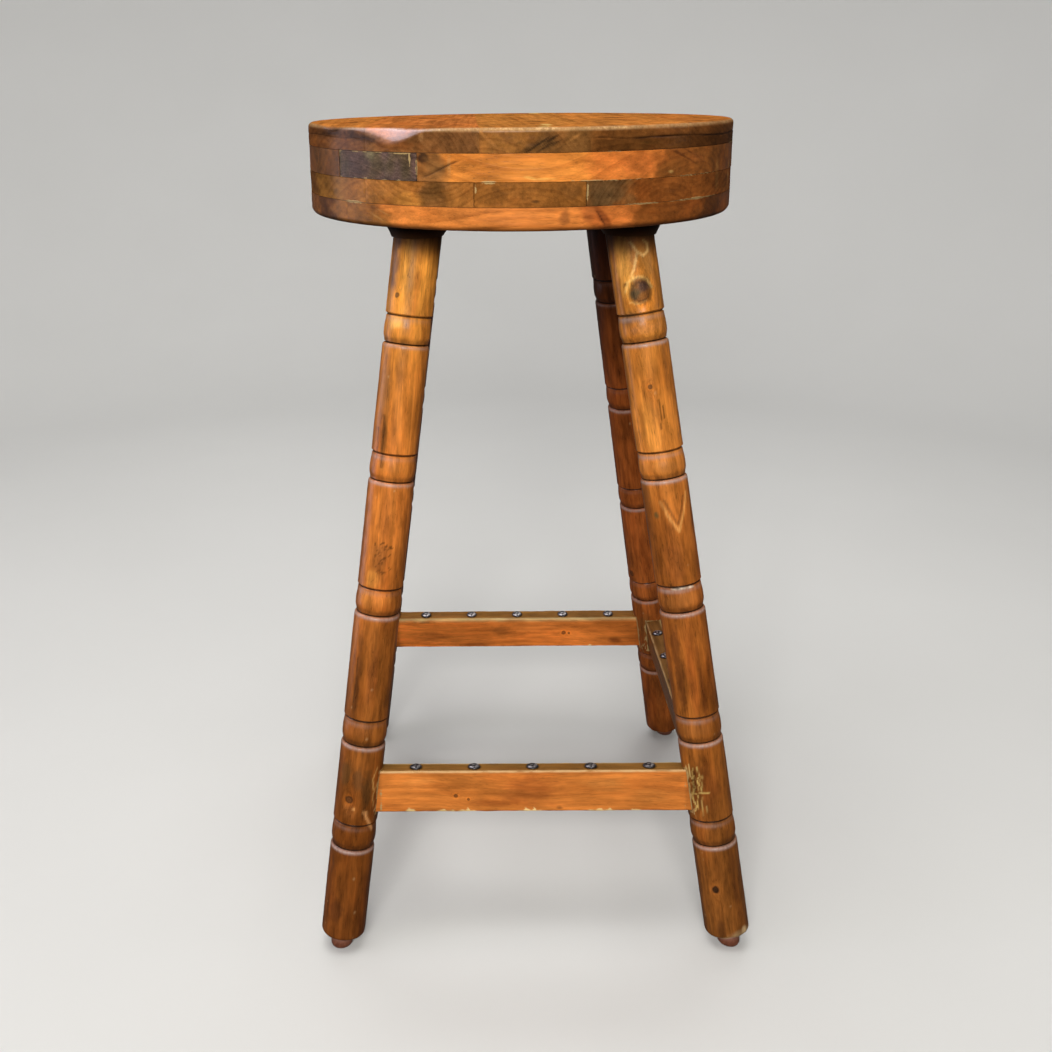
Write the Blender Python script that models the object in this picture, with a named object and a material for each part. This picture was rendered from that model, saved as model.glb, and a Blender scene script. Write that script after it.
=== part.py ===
"""Bar stool with a footrest: a round laminated pine seat on four splayed turned legs.

Metres, +Z up. X runs to the stool's right, Y to its back, and the origin is on the
floor, midway between the four feet.
"""

import math

import bmesh
import bpy
from mathutils import Matrix, Vector

for old in list(bpy.data.objects):
    bpy.data.objects.remove(old)

GAP = 0.0003  # clearance between glued or seated faces

# Seat: four layers of boards, each layer laid across the one below it
SEAT_RADIUS = 0.180
SEAT_TOP = 0.707
SEAT_OFFSET = -0.010  # the hand-set legs carry the seat a little left of the feet
PLY_HEIGHTS = (0.0180, 0.0205, 0.0180, 0.0175)  # top layer first
PLY_GRAIN = ("Y", "X", "Y", "X")
PLY_JOINTS = (
    (-0.122, -0.0365, 0.0435, 0.122),
    (-0.072, 0.010, 0.092),
    (-0.123, -0.0405, 0.0415, 0.124),
    (-0.114, -0.030, 0.054, 0.130),
)
PATCH_ENDS = (-0.1445, -0.0825)  # the short block let into the front of the second layer
RIM_SEGMENTS = 72
TOP_EDGE_ROUND = 0.0035
BOTTOM_EDGE_ROUND = 0.0050

# Legs, placed by the centre of each end
LEG_TOP_SPREAD = 0.0840
LEG_FOOT_SPREAD = 0.1720
LEG_FOOT_HEIGHT = 0.012
LEG_RADIUS = 0.0196
LEG_SEGMENTS = 20
FOOT_ROUND = 0.0045
GROOVES_FROM_TOP = (0.0785, 0.1930, 0.3085, 0.4258, 0.5218)
BEAD_LENGTH = 0.0230
UPPER_GROOVE_DEPTH = 0.0018
LOWER_GROOVE_DEPTH = 0.0030
TENON_RADIUS = 0.0130
TENON_LENGTH = 0.0290

# Collars round the leg tops
COLLAR_HEIGHT = 0.0130
COLLAR_TOP_RADIUS = 0.0290
COLLAR_FOOT_RADIUS = 0.0212
COLLAR_LIP = 0.0015

# Stretchers: the footrest, one on each side, all at one height
STRETCHER_CENTRE = 0.1467
STRETCHER_HEIGHT = 0.0380
STRETCHER_THICKNESS = 0.0165
STRETCHER_INSET = 0.0105  # distance from a leg's axis to the end inside its mortise
STRETCHER_BEVEL = 0.0010

# Domed nails along each stretcher's top
NAILS = 5
NAIL_PITCH = 0.0510
NAIL_HEAD_RADIUS = 0.0054
NAIL_HEAD_HEIGHT = 0.0017
NAIL_SHANK_RADIUS = 0.0010
NAIL_SHANK_LENGTH = 0.0160
NAIL_SEGMENTS = 10

# Glides pressed into the feet
GLIDE_RADIUS = 0.0098
GLIDE_FLAT_RADIUS = 0.0068
GLIDE_STEM_RADIUS = 0.0030
GLIDE_STEM_LENGTH = 0.0100

SEAT_UNDERSIDE = SEAT_TOP - sum(PLY_HEIGHTS)
SEAT_CENTRE = Vector((SEAT_OFFSET, 0.0, 0.0))
CORNERS = {
    "front_left": (-1, -1),
    "front_right": (1, -1),
    "back_left": (-1, 1),
    "back_right": (1, 1),
}
SIDES = {
    "front": ("front_left", "front_right"),
    "back": ("back_left", "back_right"),
    "left": ("front_left", "back_left"),
    "right": ("front_right", "back_right"),
}

LOOKS = {  # colour, roughness, metallic
    "pine_end_grain": ((0.230, 0.085, 0.020), 0.42, 0.0),
    "pine_long_grain": ((0.640, 0.220, 0.045), 0.38, 0.0),
    "grey_block": ((0.105, 0.070, 0.050), 0.45, 0.0),
    "leg_pine": ((0.420, 0.135, 0.025), 0.36, 0.0),
    "collar_dark": ((0.020, 0.012, 0.008), 0.55, 0.0),
    "stretcher_pine": ((0.560, 0.190, 0.035), 0.40, 0.0),
    "nail_steel": ((0.100, 0.100, 0.115), 0.28, 1.0),
    "glide_brown": ((0.160, 0.050, 0.030), 0.40, 0.0),
}


def material(look):
    """The named look as a Principled material, made once."""
    made = bpy.data.materials.get(look)
    if made:
        return made
    colour, roughness, metallic = LOOKS[look]
    made = bpy.data.materials.new(look)
    made.use_nodes = True
    shader = made.node_tree.nodes["Principled BSDF"]
    shader.inputs["Base Color"].default_value = (*colour, 1.0)
    shader.inputs["Roughness"].default_value = roughness
    shader.inputs["Metallic"].default_value = metallic
    return made


def add_object(name, bm, look, matrix=None, smooth=None):
    """Turns a bmesh into a named object, with its normals outward."""
    bmesh.ops.recalc_face_normals(bm, faces=bm.faces)
    mesh = bpy.data.meshes.new(name)
    bm.to_mesh(mesh)
    bm.free()
    if smooth is not None:
        mesh.shade_smooth()
        mesh.set_sharp_from_angle(angle=math.radians(smooth))
    obj = bpy.data.objects.new(name, mesh)
    bpy.context.collection.objects.link(obj)
    if matrix is not None:
        obj.matrix_world = matrix
    if look:
        mesh.materials.append(material(look))
    return obj


def as_cutter(obj):
    obj.hide_render = True
    obj.display_type = "WIRE"
    return obj


def cut(obj, cutter):
    modifier = obj.modifiers.new("cut_" + cutter.name, "BOOLEAN")
    modifier.operation = "DIFFERENCE"
    modifier.solver = "EXACT"
    modifier.object = cutter


# Seat boards


def circle_outline():
    step = 2 * math.pi / RIM_SEGMENTS
    return [
        Vector((math.cos(i * step), math.sin(i * step))) * SEAT_RADIUS
        for i in range(RIM_SEGMENTS)
    ]


def clip(outline, axis, limit, keep_above):
    """Cuts a convex outline at one straight line across X (axis 0) or Y (axis 1)."""
    sign = 1.0 if keep_above else -1.0
    kept = []
    for here, after in zip(outline, outline[1:] + outline[:1]):
        side = sign * (here[axis] - limit)
        next_side = sign * (after[axis] - limit)
        if side >= 0:
            kept.append(here)
        if side * next_side < 0:
            kept.append(here.lerp(after, side / (side - next_side)))
    return kept


def board_outline(across, low, high, ends=(None, None)):
    """The part of the seat's circle between two joints, and between two ends."""
    outline = circle_outline()
    for axis, lower, upper in ((across, low, high), (1 - across, *ends)):
        if lower is not None:
            outline = clip(outline, axis, lower + GAP / 2, True)
        if upper is not None:
            outline = clip(outline, axis, upper - GAP / 2, False)
    return outline


def on_rim(edge):
    middle = (edge.verts[0].co + edge.verts[1].co) / 2
    return math.hypot(middle.x, middle.y) > SEAT_RADIUS * 0.9985


def add_board(name, outline, top, height, ply, look):
    """Extrudes a board down from its outline, and rounds the seat's outer edge on it."""
    bm = bmesh.new()
    bottom = top - height
    face = bm.faces.new([bm.verts.new((p.x, p.y, bottom)) for p in outline])
    made = bmesh.ops.extrude_face_region(bm, geom=[face])["geom"]
    lifted = [v for v in made if isinstance(v, bmesh.types.BMVert)]
    bmesh.ops.translate(bm, verts=lifted, vec=(0, 0, height))
    if ply in (0, len(PLY_HEIGHTS) - 1):
        level = top if ply == 0 else bottom
        size = TOP_EDGE_ROUND if ply == 0 else BOTTOM_EDGE_ROUND
        edges = [
            e
            for e in bm.edges
            if on_rim(e) and all(abs(v.co.z - level) < 1e-6 for v in e.verts)
        ]
        bmesh.ops.bevel(
            bm, geom=edges, offset=size, segments=2, profile=0.5, affect="EDGES"
        )
    place = Matrix.Translation(SEAT_CENTRE)
    return add_object(name, bm, look, place, smooth=30)


def seat_boards():
    """All the boards, with the layer that each is in."""
    boards = []
    top = SEAT_TOP
    for ply, height in enumerate(PLY_HEIGHTS):
        across = 0 if PLY_GRAIN[ply] == "Y" else 1
        look = "pine_end_grain" if across == 0 else "pine_long_grain"
        joints = (None, *PLY_JOINTS[ply], None)
        thick = height - (GAP if ply < len(PLY_HEIGHTS) - 1 else 0)
        for i, (low, high) in enumerate(zip(joints, joints[1:])):
            pieces = [("", (None, None), look)]
            if ply == 1 and i == 0:
                left, right = PATCH_ENDS
                pieces = [
                    ("_left", (None, left), look),
                    ("_block", (left, right), "grey_block"),
                    ("_right", (right, None), look),
                ]
            for suffix, ends, piece_look in pieces:
                name = f"seat_layer{ply + 1}_board{i + 1}{suffix}"
                outline = board_outline(across, low, high, ends)
                board = add_board(name, outline, top, thick, ply, piece_look)
                boards.append((ply, outline, board))
        top -= height
    return boards


# Legs, collars and glides, all turned about the leg's own axis


def leg_ends(corner):
    """The centre of the leg's foot, and the point of its axis at the seat's underside."""
    x, y = CORNERS[corner]
    foot = Vector((x * LEG_FOOT_SPREAD, y * LEG_FOOT_SPREAD, LEG_FOOT_HEIGHT))
    head = Vector((x * LEG_TOP_SPREAD, y * LEG_TOP_SPREAD, SEAT_UNDERSIDE))
    return foot, head + SEAT_CENTRE


def leg_matrix(corner):
    """Origin at the foot's centre, +Z along the axis towards the seat."""
    foot, head = leg_ends(corner)
    along = (head - foot).normalized()
    side = Vector((0, 1, 0)).cross(along).normalized()
    turn = Matrix((side, along.cross(side), along)).transposed()
    return Matrix.Translation(foot) @ turn.to_4x4()


def leg_length(corner):
    foot, head = leg_ends(corner)
    return (head - foot).length


def axis_point(corner, height):
    foot, head = leg_ends(corner)
    return foot.lerp(head, (height - foot.z) / (head.z - foot.z))


def ring_points(ring, matrix, segments):
    """One ring of a turned piece: ("at", radius, distance along the axis), or
    ("level", radius, world height), which tilts the ring to lie level."""
    kind, radius, value = ring
    points = []
    for i in range(segments):
        angle = 2 * math.pi * i / segments
        x, y = radius * math.cos(angle), radius * math.sin(angle)
        z = value
        if kind == "level":
            row = matrix[2]
            z = (value - row[3] - row[0] * x - row[1] * y) / row[2]
        points.append((x, y, z))
    return points


def turned(name, rings, matrix, look, segments, tube=False, smooth=40):
    """A body of revolution through its rings, capped at both ends or closed as a tube."""
    bm = bmesh.new()
    loops = [
        [bm.verts.new(p) for p in ring_points(ring, matrix, segments)] for ring in rings
    ]
    pairs = list(zip(loops, loops[1:]))
    if tube:
        pairs.append((loops[-1], loops[0]))
    else:
        bm.faces.new(loops[0])
        bm.faces.new(loops[-1])
    for low, high in pairs:
        for i in range(segments):
            j = (i + 1) % segments
            bm.faces.new((low[i], low[j], high[j], high[i]))
    return add_object(name, bm, look, matrix, smooth=smooth)


def groove_pair(start):
    """Rings going up past one bead, from the groove below it to the one above it."""
    radius = LEG_RADIUS
    low, high = start - BEAD_LENGTH, start
    return [
        ("at", radius, low - 0.0028),
        ("at", radius - LOWER_GROOVE_DEPTH, low),
        ("at", radius - 0.0012, low + 0.0018),
        ("at", radius, low + 0.0060),
        ("at", radius, high - 0.0018),
        ("at", radius - UPPER_GROOVE_DEPTH, high),
        ("at", radius, high + 0.0018),
    ]


def leg_rings(length):
    """From the blind hole for the glide's stem, up the outside, to the tenon's end."""
    radius = LEG_RADIUS
    hole = GLIDE_STEM_RADIUS + GAP
    rings = [
        ("at", hole, GLIDE_STEM_LENGTH + 2 * GAP),
        ("at", hole, 0.0),
        ("at", radius - FOOT_ROUND, 0.0),
        ("at", radius - FOOT_ROUND * 0.30, FOOT_ROUND * 0.30),
        ("at", radius, FOOT_ROUND),
    ]
    for from_top in reversed(GROOVES_FROM_TOP):
        rings += groove_pair(length - from_top)
    rings += [
        ("level", radius, SEAT_UNDERSIDE - GAP),
        ("level", TENON_RADIUS, SEAT_UNDERSIDE - GAP),
        ("at", TENON_RADIUS, length + TENON_LENGTH - 0.0015),
        ("at", TENON_RADIUS - 0.0015, length + TENON_LENGTH),
    ]
    return rings


def collar_rings():
    top = SEAT_UNDERSIDE - GAP
    bore = LEG_RADIUS + GAP
    return [
        ("level", bore, top),
        ("level", COLLAR_TOP_RADIUS, top),
        ("level", COLLAR_TOP_RADIUS, top - COLLAR_LIP),
        ("level", COLLAR_FOOT_RADIUS, top - COLLAR_HEIGHT),
        ("level", bore, top - COLLAR_HEIGHT),
    ]


def glide_rings():
    stem = GLIDE_STEM_RADIUS
    return [
        ("level", GLIDE_FLAT_RADIUS, 0.0),
        ("level", GLIDE_RADIUS - 0.0009, 0.0011),
        ("level", GLIDE_RADIUS, 0.0032),
        ("at", GLIDE_RADIUS, -GAP),
        ("at", stem, -GAP),
        ("at", stem, GLIDE_STEM_LENGTH),
    ]


# Stretchers and nails


def side_frame(side):
    """For one side: its two corners, the index of the run's axis, and the other one."""
    first, last = SIDES[side]
    along = 0 if CORNERS[first][0] != CORNERS[last][0] else 1
    return first, last, along, 1 - along


def section_axes(side):
    """The middle of a bar's section, and its directions across and up. The section
    leans with the two legs that hold the bar."""
    first, last, along, across = side_frame(side)
    up = axis_point(first, 1.0) - axis_point(first, 0.0)
    up[along] = 0
    up.normalize()
    out = Vector((0, 0, 0))
    out[across], out.z = up.z, -up[across]
    centre = (
        axis_point(first, STRETCHER_CENTRE) + axis_point(last, STRETCHER_CENTRE)
    ) / 2
    return centre, out, up


def bar(name, side, inset, grow, look, outward=None):
    """A rectangular bar from leg to leg. Its ends slope with the legs' axes. With
    outward set, it is only the stretch of the bar near that corner, past the leg."""
    first, last, along, across = side_frame(side)
    centre, out, up = section_axes(side)
    tall = STRETCHER_HEIGHT / 2 + grow
    half = STRETCHER_THICKNESS / 2 + grow
    corners = []
    for rise in (-tall, tall):
        near, far = centre - half * out + rise * up, centre + half * out + rise * up
        starts, ends = [], []
        for edge in (near, far):
            start = axis_point(first, edge.z)[along] + inset
            end = axis_point(last, edge.z)[along] - inset
            if outward == first:
                end = start + 2 * LEG_RADIUS
            if outward == last:
                start = end - 2 * LEG_RADIUS
            starts.append(start)
            ends.append(end)
        for run, edge in (
            (starts[0], near),
            (ends[0], near),
            (ends[1], far),
            (starts[1], far),
        ):
            point = edge.copy()
            point[along] = run
            corners.append(point)
    bm = bmesh.new()
    v = [bm.verts.new(p) for p in corners]
    for face in (
        (0, 1, 2, 3),
        (4, 5, 6, 7),
        (0, 1, 5, 4),
        (1, 2, 6, 5),
        (2, 3, 7, 6),
        (3, 0, 4, 7),
    ):
        bm.faces.new([v[i] for i in face])
    if look:
        long_edges = [
            e
            for e in bm.edges
            if abs(e.verts[0].co[along] - e.verts[1].co[along]) > 4 * LEG_RADIUS
        ]
        bmesh.ops.bevel(
            bm,
            geom=long_edges,
            offset=STRETCHER_BEVEL,
            segments=1,
            profile=0.5,
            affect="EDGES",
        )
    return add_object(name, bm, look, smooth=30 if look else None)


def nail_matrices(side):
    """Where each nail stands on the bar's top, evenly spaced about its middle, with +Z
    out of the wood."""
    first, last, along, across = side_frame(side)
    centre, out, up = section_axes(side)
    run = Vector((0, 0, 0))
    run[along] = 1
    turn = Matrix((run, up.cross(run), up)).transposed().to_4x4()
    places = []
    for i in range(NAILS):
        shift = (i - (NAILS - 1) / 2) * NAIL_PITCH
        place = centre + shift * run + STRETCHER_HEIGHT / 2 * up
        places.append(Matrix.Translation(place) @ turn)
    return places


def nail_rings():
    head, rise = NAIL_HEAD_RADIUS, NAIL_HEAD_HEIGHT
    shank = NAIL_SHANK_RADIUS
    return [
        ("at", shank * 0.4, -NAIL_SHANK_LENGTH),
        ("at", shank, -NAIL_SHANK_LENGTH + 0.0025),
        ("at", shank, GAP),
        ("at", head, GAP),
        ("at", head * 0.80, GAP + rise * 0.60),
        ("at", head * 0.35, GAP + rise),
    ]


def pilot_rings():
    hole = NAIL_SHANK_RADIUS + GAP
    return [("at", hole, -NAIL_SHANK_LENGTH - 2 * GAP), ("at", hole, 0.004)]


def build_seat_and_legs():
    boards = seat_boards()
    for corner in CORNERS:
        matrix = leg_matrix(corner)
        length = leg_length(corner)
        turned(f"leg_{corner}", leg_rings(length), matrix, "leg_pine", LEG_SEGMENTS)
        turned(
            f"collar_{corner}",
            collar_rings(),
            matrix,
            "collar_dark",
            LEG_SEGMENTS,
            tube=True,
        )
        turned(f"glide_{corner}", glide_rings(), matrix, "glide_brown", 16)
        hole = TENON_RADIUS + GAP
        rings = [("at", hole, length - 0.015), ("at", hole, length + TENON_LENGTH + GAP)]
        cutter = as_cutter(
            turned(f"tenon_hole_{corner}", rings, matrix, None, LEG_SEGMENTS)
        )
        centre = leg_ends(corner)[1] - SEAT_CENTRE
        for ply, outline, board in boards:
            low = Vector((min(p.x for p in outline), min(p.y for p in outline)))
            high = Vector((max(p.x for p in outline), max(p.y for p in outline)))
            inside = low.x < centre.x < high.x and low.y < centre.y < high.y
            if ply >= 2 and inside:
                cut(board, cutter)


def build_footrest():
    for side, ends in SIDES.items():
        name = f"stretcher_{side}"
        stretcher = bar(name, side, STRETCHER_INSET, 0.0, "stretcher_pine")
        for corner in ends:
            cutter = as_cutter(
                bar(
                    f"mortise_{side}_{corner}",
                    side,
                    STRETCHER_INSET - GAP,
                    GAP,
                    None,
                    outward=corner,
                )
            )
            cut(bpy.data.objects[f"leg_{corner}"], cutter)
        for i, matrix in enumerate(nail_matrices(side)):
            turned(
                f"nail_{side}_{i + 1}",
                nail_rings(),
                matrix,
                "nail_steel",
                NAIL_SEGMENTS,
                smooth=60,
            )
            pilot = as_cutter(
                turned(f"pilot_{side}_{i + 1}", pilot_rings(), matrix, None, 8)
            )
            cut(stretcher, pilot)


build_seat_and_legs()
build_footrest()
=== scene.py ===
"""Looks of the bar stool with a footrest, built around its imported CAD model.

Metres, +Z up, in the CAD's frame. Each detailed piece stands for one CAD node.
"""

import math

import bmesh
import bpy
import numpy as np
from mathutils import Matrix, Vector


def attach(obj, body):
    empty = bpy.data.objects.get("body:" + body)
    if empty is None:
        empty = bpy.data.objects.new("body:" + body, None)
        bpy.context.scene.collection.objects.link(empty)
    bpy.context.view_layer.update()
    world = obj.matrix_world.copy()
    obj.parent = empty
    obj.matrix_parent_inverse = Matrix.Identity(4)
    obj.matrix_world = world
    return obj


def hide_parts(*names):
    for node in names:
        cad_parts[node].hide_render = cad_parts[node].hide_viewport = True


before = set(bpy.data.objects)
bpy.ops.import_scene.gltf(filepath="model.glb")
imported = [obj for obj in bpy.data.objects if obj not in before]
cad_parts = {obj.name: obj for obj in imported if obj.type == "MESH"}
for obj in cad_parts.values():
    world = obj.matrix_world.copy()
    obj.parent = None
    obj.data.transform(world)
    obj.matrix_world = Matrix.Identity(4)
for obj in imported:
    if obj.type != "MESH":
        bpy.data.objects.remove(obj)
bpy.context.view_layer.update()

GAP = 0.0003  # clearance between neighbouring pieces, as in the CAD
GLUED_GAP = 0.00006  # between boards whose joint is closed

# Seat
SEAT_RADIUS = 0.180
SEAT_TOP = 0.707
SEAT_OFFSET = -0.010
PLY_HEIGHTS = (0.0180, 0.0205, 0.0180, 0.0175)
PLY_GRAIN = ("Y", "X", "Y", "X")
PLY_JOINTS = (
    (-0.122, -0.0365, 0.0435, 0.122),
    (-0.072, 0.010, 0.092),
    (-0.123, -0.0405, 0.0415, 0.124),
    (-0.114, -0.030, 0.054, 0.130),
)
PATCH_ENDS = (-0.1445, -0.0825)
OPEN_JOINTS = (*PATCH_ENDS, -0.0405, 0.0415)  # the rest are glued tight
RIM_SEGMENTS = 900
RIM_ROW = 0.00062  # height between the rim's rows of points
TOP_EDGE_ROUND = 0.0035
BOTTOM_EDGE_ROUND = 0.0050
HOLLOW_DEPTH = 0.0125  # of the worn hollow in the top edge
HOLLOW_PULL = 0.0088
CRACK_DEPTH = 0.0007
SEAT_UNDERSIDE = SEAT_TOP - sum(PLY_HEIGHTS)

# Legs
LEG_TOP_SPREAD = 0.0840
LEG_FOOT_SPREAD = 0.1720
LEG_FOOT_HEIGHT = 0.012
LEG_RADIUS = 0.0196
LEG_SEGMENTS = 96
FOOT_ROUND = 0.0045
GROOVES_FROM_TOP = (0.0785, 0.1930, 0.3085, 0.4258, 0.5218)
BEAD_LENGTH = 0.0230
UPPER_GROOVE_DEPTH = 0.0018
LOWER_GROOVE_DEPTH = 0.0030
TENON_RADIUS = 0.0130
TENON_LENGTH = 0.0290

# Collars, stretchers, nails and glides
COLLAR_HEIGHT = 0.0130
COLLAR_TOP_RADIUS = 0.0290
COLLAR_FOOT_RADIUS = 0.0212
COLLAR_LIP = 0.0015
STRETCHER_CENTRE = 0.1467
STRETCHER_HEIGHT = 0.0380
STRETCHER_THICKNESS = 0.0165
STRETCHER_INSET = 0.0105
BAR_STATIONS = 300
NAILS = 5
NAIL_PITCH = 0.0510
NAIL_HEAD_RADIUS = 0.0054
NAIL_HEAD_HEIGHT = 0.0017
NAIL_SHANK_RADIUS = 0.0010
NAIL_SHANK_LENGTH = 0.0160
GLIDE_RADIUS = 0.0098
GLIDE_FLAT_RADIUS = 0.0068
GLIDE_STEM_RADIUS = 0.0030
GLIDE_STEM_LENGTH = 0.0100

CORNERS = {
    "front_left": (-1, -1),
    "front_right": (1, -1),
    "back_left": (-1, 1),
    "back_right": (1, 1),
}
SIDES = {
    "front": ("front_left", "front_right"),
    "back": ("back_left", "back_right"),
    "left": ("front_left", "back_left"),
    "right": ("front_right", "back_right"),
}


# ------------------------------------------------------------------ small tools


def tone(red, green, blue):
    """A colour given from 0 to 255 on a screen, as linear light."""
    values = np.array((red, green, blue)) / 255
    return np.where(values < 0.04045, values / 12.92, ((values + 0.055) / 1.055) ** 2.4)


def fuzz(points, scale, seed=0):
    """Smooth noise from -1 to 1 at each point."""
    place = np.asarray(points, float) * scale + seed * 17.31
    cell = np.floor(place).astype(np.int64)
    part = place - cell
    part = part * part * (3 - 2 * part)
    total = np.zeros(len(place))
    for corner in np.ndindex(2, 2, 2):
        c = cell + corner
        mixed = c[:, 0] * 374761393 + c[:, 1] * 668265263 + c[:, 2] * 1442695041
        mixed = (mixed ^ (mixed >> 13)) * 1274126177 & 0xFFFFFFFF
        value = (mixed ^ (mixed >> 16)) / 0xFFFFFFFF * 2 - 1
        total += value * np.prod(np.where(corner, part, 1 - part), axis=1)
    return total


def ease(low, high, value):
    """0 below low, 1 above high, smooth between. low may be the larger."""
    t = np.clip((np.asarray(value, float) - low) / (high - low), 0, 1)
    return t * t * (3 - 2 * t)


def bell(value, centre, width):
    return np.exp(-(((np.asarray(value, float) - centre) / width) ** 2))


def turn_from(degrees, start):
    """The shorter way round from start, from -180 to 180 degrees."""
    return (degrees - start + 180) % 360 - 180


def polar(points):
    """How far each point lies from the local Z axis, and its degrees round it."""
    x, y = points[:, 0], points[:, 1]
    return np.hypot(x, y), np.degrees(np.arctan2(y, x))


def shrink(points, reach, share):
    """Moves points towards the local Z axis by a share of their distance from it."""
    points[:, :2] *= (1 - share / np.maximum(reach, 1e-4))[:, None]


def blend(tint, colour, share):
    """Lays a screen colour over the tint. share runs from 0 to 1 at each point."""
    share = np.reshape(share, (-1, 1))
    return tint * (1 - share) + tone(*colour) * share


def quarter(steps):
    """The sine, and one less the cosine, of evenly spaced angles from 0 to 90 degrees."""
    angles = np.radians(np.linspace(0, 90, steps + 1))
    return list(zip(np.sin(angles), 1 - np.cos(angles)))


def skin(segments, rings, loop=False):
    """Faces between rings of points, with a cap on each end unless they close a loop."""
    k = np.arange(segments)
    faces = []
    for i in range(rings if loop else rings - 1):
        a, b = i * segments + k, (i + 1) % rings * segments + k
        faces += np.stack([a, np.roll(a, -1), np.roll(b, -1), b], 1).tolist()
    if not loop:
        faces += [k[::-1].tolist(), ((rings - 1) * segments + k).tolist()]
    return faces


def new_object(name, points, faces, matrix=None):
    mesh = bpy.data.meshes.new(name)
    mesh.from_pydata([tuple(p) for p in points], [], [tuple(f) for f in faces])
    obj = bpy.data.objects.new(name, mesh)
    bpy.context.collection.objects.link(obj)
    if matrix is not None:
        obj.matrix_world = matrix
    return obj


def outward(obj):
    bm = bmesh.new()
    bm.from_mesh(obj.data)
    bmesh.ops.recalc_face_normals(bm, faces=bm.faces)
    bm.to_mesh(obj.data)
    bm.free()
    return obj


def carve(obj, cutter):
    """Cuts the cutter's solid out of a piece, and removes the cutter."""
    modifier = obj.modifiers.new("carve", "BOOLEAN")
    modifier.operation = "DIFFERENCE"
    modifier.solver = "EXACT"
    modifier.object = cutter
    bpy.context.view_layer.update()
    graph = bpy.context.evaluated_depsgraph_get()
    carved = bpy.data.meshes.new_from_object(obj.evaluated_get(graph))
    obj.modifiers.clear()
    obj.data = carved
    bpy.data.objects.remove(cutter)
    return obj


def points_of(obj):
    values = np.empty(len(obj.data.vertices) * 3, np.float32)
    obj.data.vertices.foreach_get("co", values)
    return values.reshape(-1, 3).astype(float)


def move_points(obj, points):
    obj.data.vertices.foreach_set("co", np.asarray(points, np.float32).ravel())
    obj.data.update()


def store(obj, **fields):
    """Keeps numbers or vectors at each vertex, by name, for the material to read."""
    for name, values in fields.items():
        values = np.asarray(values, np.float32)
        kind, field = {1: ("FLOAT", "value"), 2: ("FLOAT_VECTOR", "vector")}[values.ndim]
        layer = obj.data.attributes.new(name, kind, "POINT")
        layer.data.foreach_set(field, values.ravel())


def finish_piece(obj, node, slot, smooth=35):
    """Puts a piece's place into its mesh, as the CAD's nodes have it, and hands it over."""
    store(obj, local=points_of(obj))
    bpy.context.view_layer.update()
    obj.data.transform(obj.matrix_world)
    obj.matrix_world = Matrix.Identity(4)
    obj.data.materials.clear()
    obj.data.materials.append(MATERIALS[slot])
    obj.data.shade_smooth()
    obj.data.set_sharp_from_angle(angle=math.radians(smooth))
    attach(obj, "root")
    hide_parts(node)


# -------------------------------------------------------------------- materials


class Graph:
    """Short names for making and linking one material's nodes."""

    def __init__(self, name):
        self.material = bpy.data.materials.new(name)
        self.material.use_nodes = True
        self.tree = self.material.node_tree
        self.shader = self.tree.nodes["Principled BSDF"]

    def plug(self, socket, value):
        if isinstance(value, bpy.types.NodeSocket):
            self.tree.links.new(value, socket)
        else:
            socket.default_value = value

    def put(self, kind, inputs=(), **settings):
        node = self.tree.nodes.new("ShaderNode" + kind)
        for key, value in settings.items():
            setattr(node, key, value)
        for key, value in dict(inputs).items():
            self.plug(node.inputs[key], value)
        return node

    def math(self, operation, a, b=0.0, c=0.0, clamp=False):
        inputs = {0: a, 1: b, 2: c}
        return self.put("Math", inputs, operation=operation, use_clamp=clamp).outputs[0]

    def add(self, a, b):
        return self.math("ADD", a, b)

    def times(self, a, b):
        return self.math("MULTIPLY", a, b)

    def scaled(self, vector, by):
        node = self.put("VectorMath", {0: vector, 1: by}, operation="MULTIPLY")
        return node.outputs[0]

    def moved(self, vector, by):
        node = self.put("VectorMath", {0: vector, 1: by}, operation="ADD")
        return node.outputs[0]

    def mix(self, factor, a, b, blend="MIX"):
        inputs = {0: factor, 6: a, 7: b}
        node = self.put("Mix", inputs, data_type="RGBA", blend_type=blend)
        return node.outputs[2]

    def noise(self, vector, scale, detail=2.0, rough=0.5):
        """Noise from 0 to 1, usually near the middle."""
        inputs = {"Scale": scale, "Detail": detail, "Roughness": rough}
        inputs["Vector"] = vector
        return self.put("TexNoise", inputs).outputs[0]

    def span(self, value, low, high, out_low=0.0, out_high=1.0, smooth=True):
        inputs = {0: value, 1: low, 2: high, 3: out_low, 4: out_high}
        kind = "SMOOTHSTEP" if smooth else "LINEAR"
        return self.put("MapRange", inputs, interpolation_type=kind).outputs[0]

    def stored(self, name, vector=False):
        node = self.put("Attribute", attribute_name=name)
        return node.outputs["Vector" if vector else "Fac"]

    def bump(self, height, strength, distance, normal=None):
        inputs = {"Strength": strength, "Distance": distance, "Height": height}
        if normal:
            inputs["Normal"] = normal
        return self.put("Bump", inputs).outputs[0]

    def fma(self, a, b, c, clamp=False):
        """a times b, plus c."""
        return self.math("MULTIPLY_ADD", a, b, c, clamp)

    def cloud(self, vector, stretch, detail=2.0, rough=0.5):
        """Noise with its own scale along each axis."""
        return self.noise(self.scaled(vector, stretch), 1.0, detail, rough)

    def over(self, colour, share, top):
        return self.mix(share, colour, (*top, 1))

    def dyed(self, colour, by):
        return self.mix(1.0, colour, (*by, 1), "MULTIPLY")

    def surface(self, **inputs):
        for key, value in inputs.items():
            self.plug(self.shader.inputs[key.replace("_", " ")], value)
        return self.material


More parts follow.
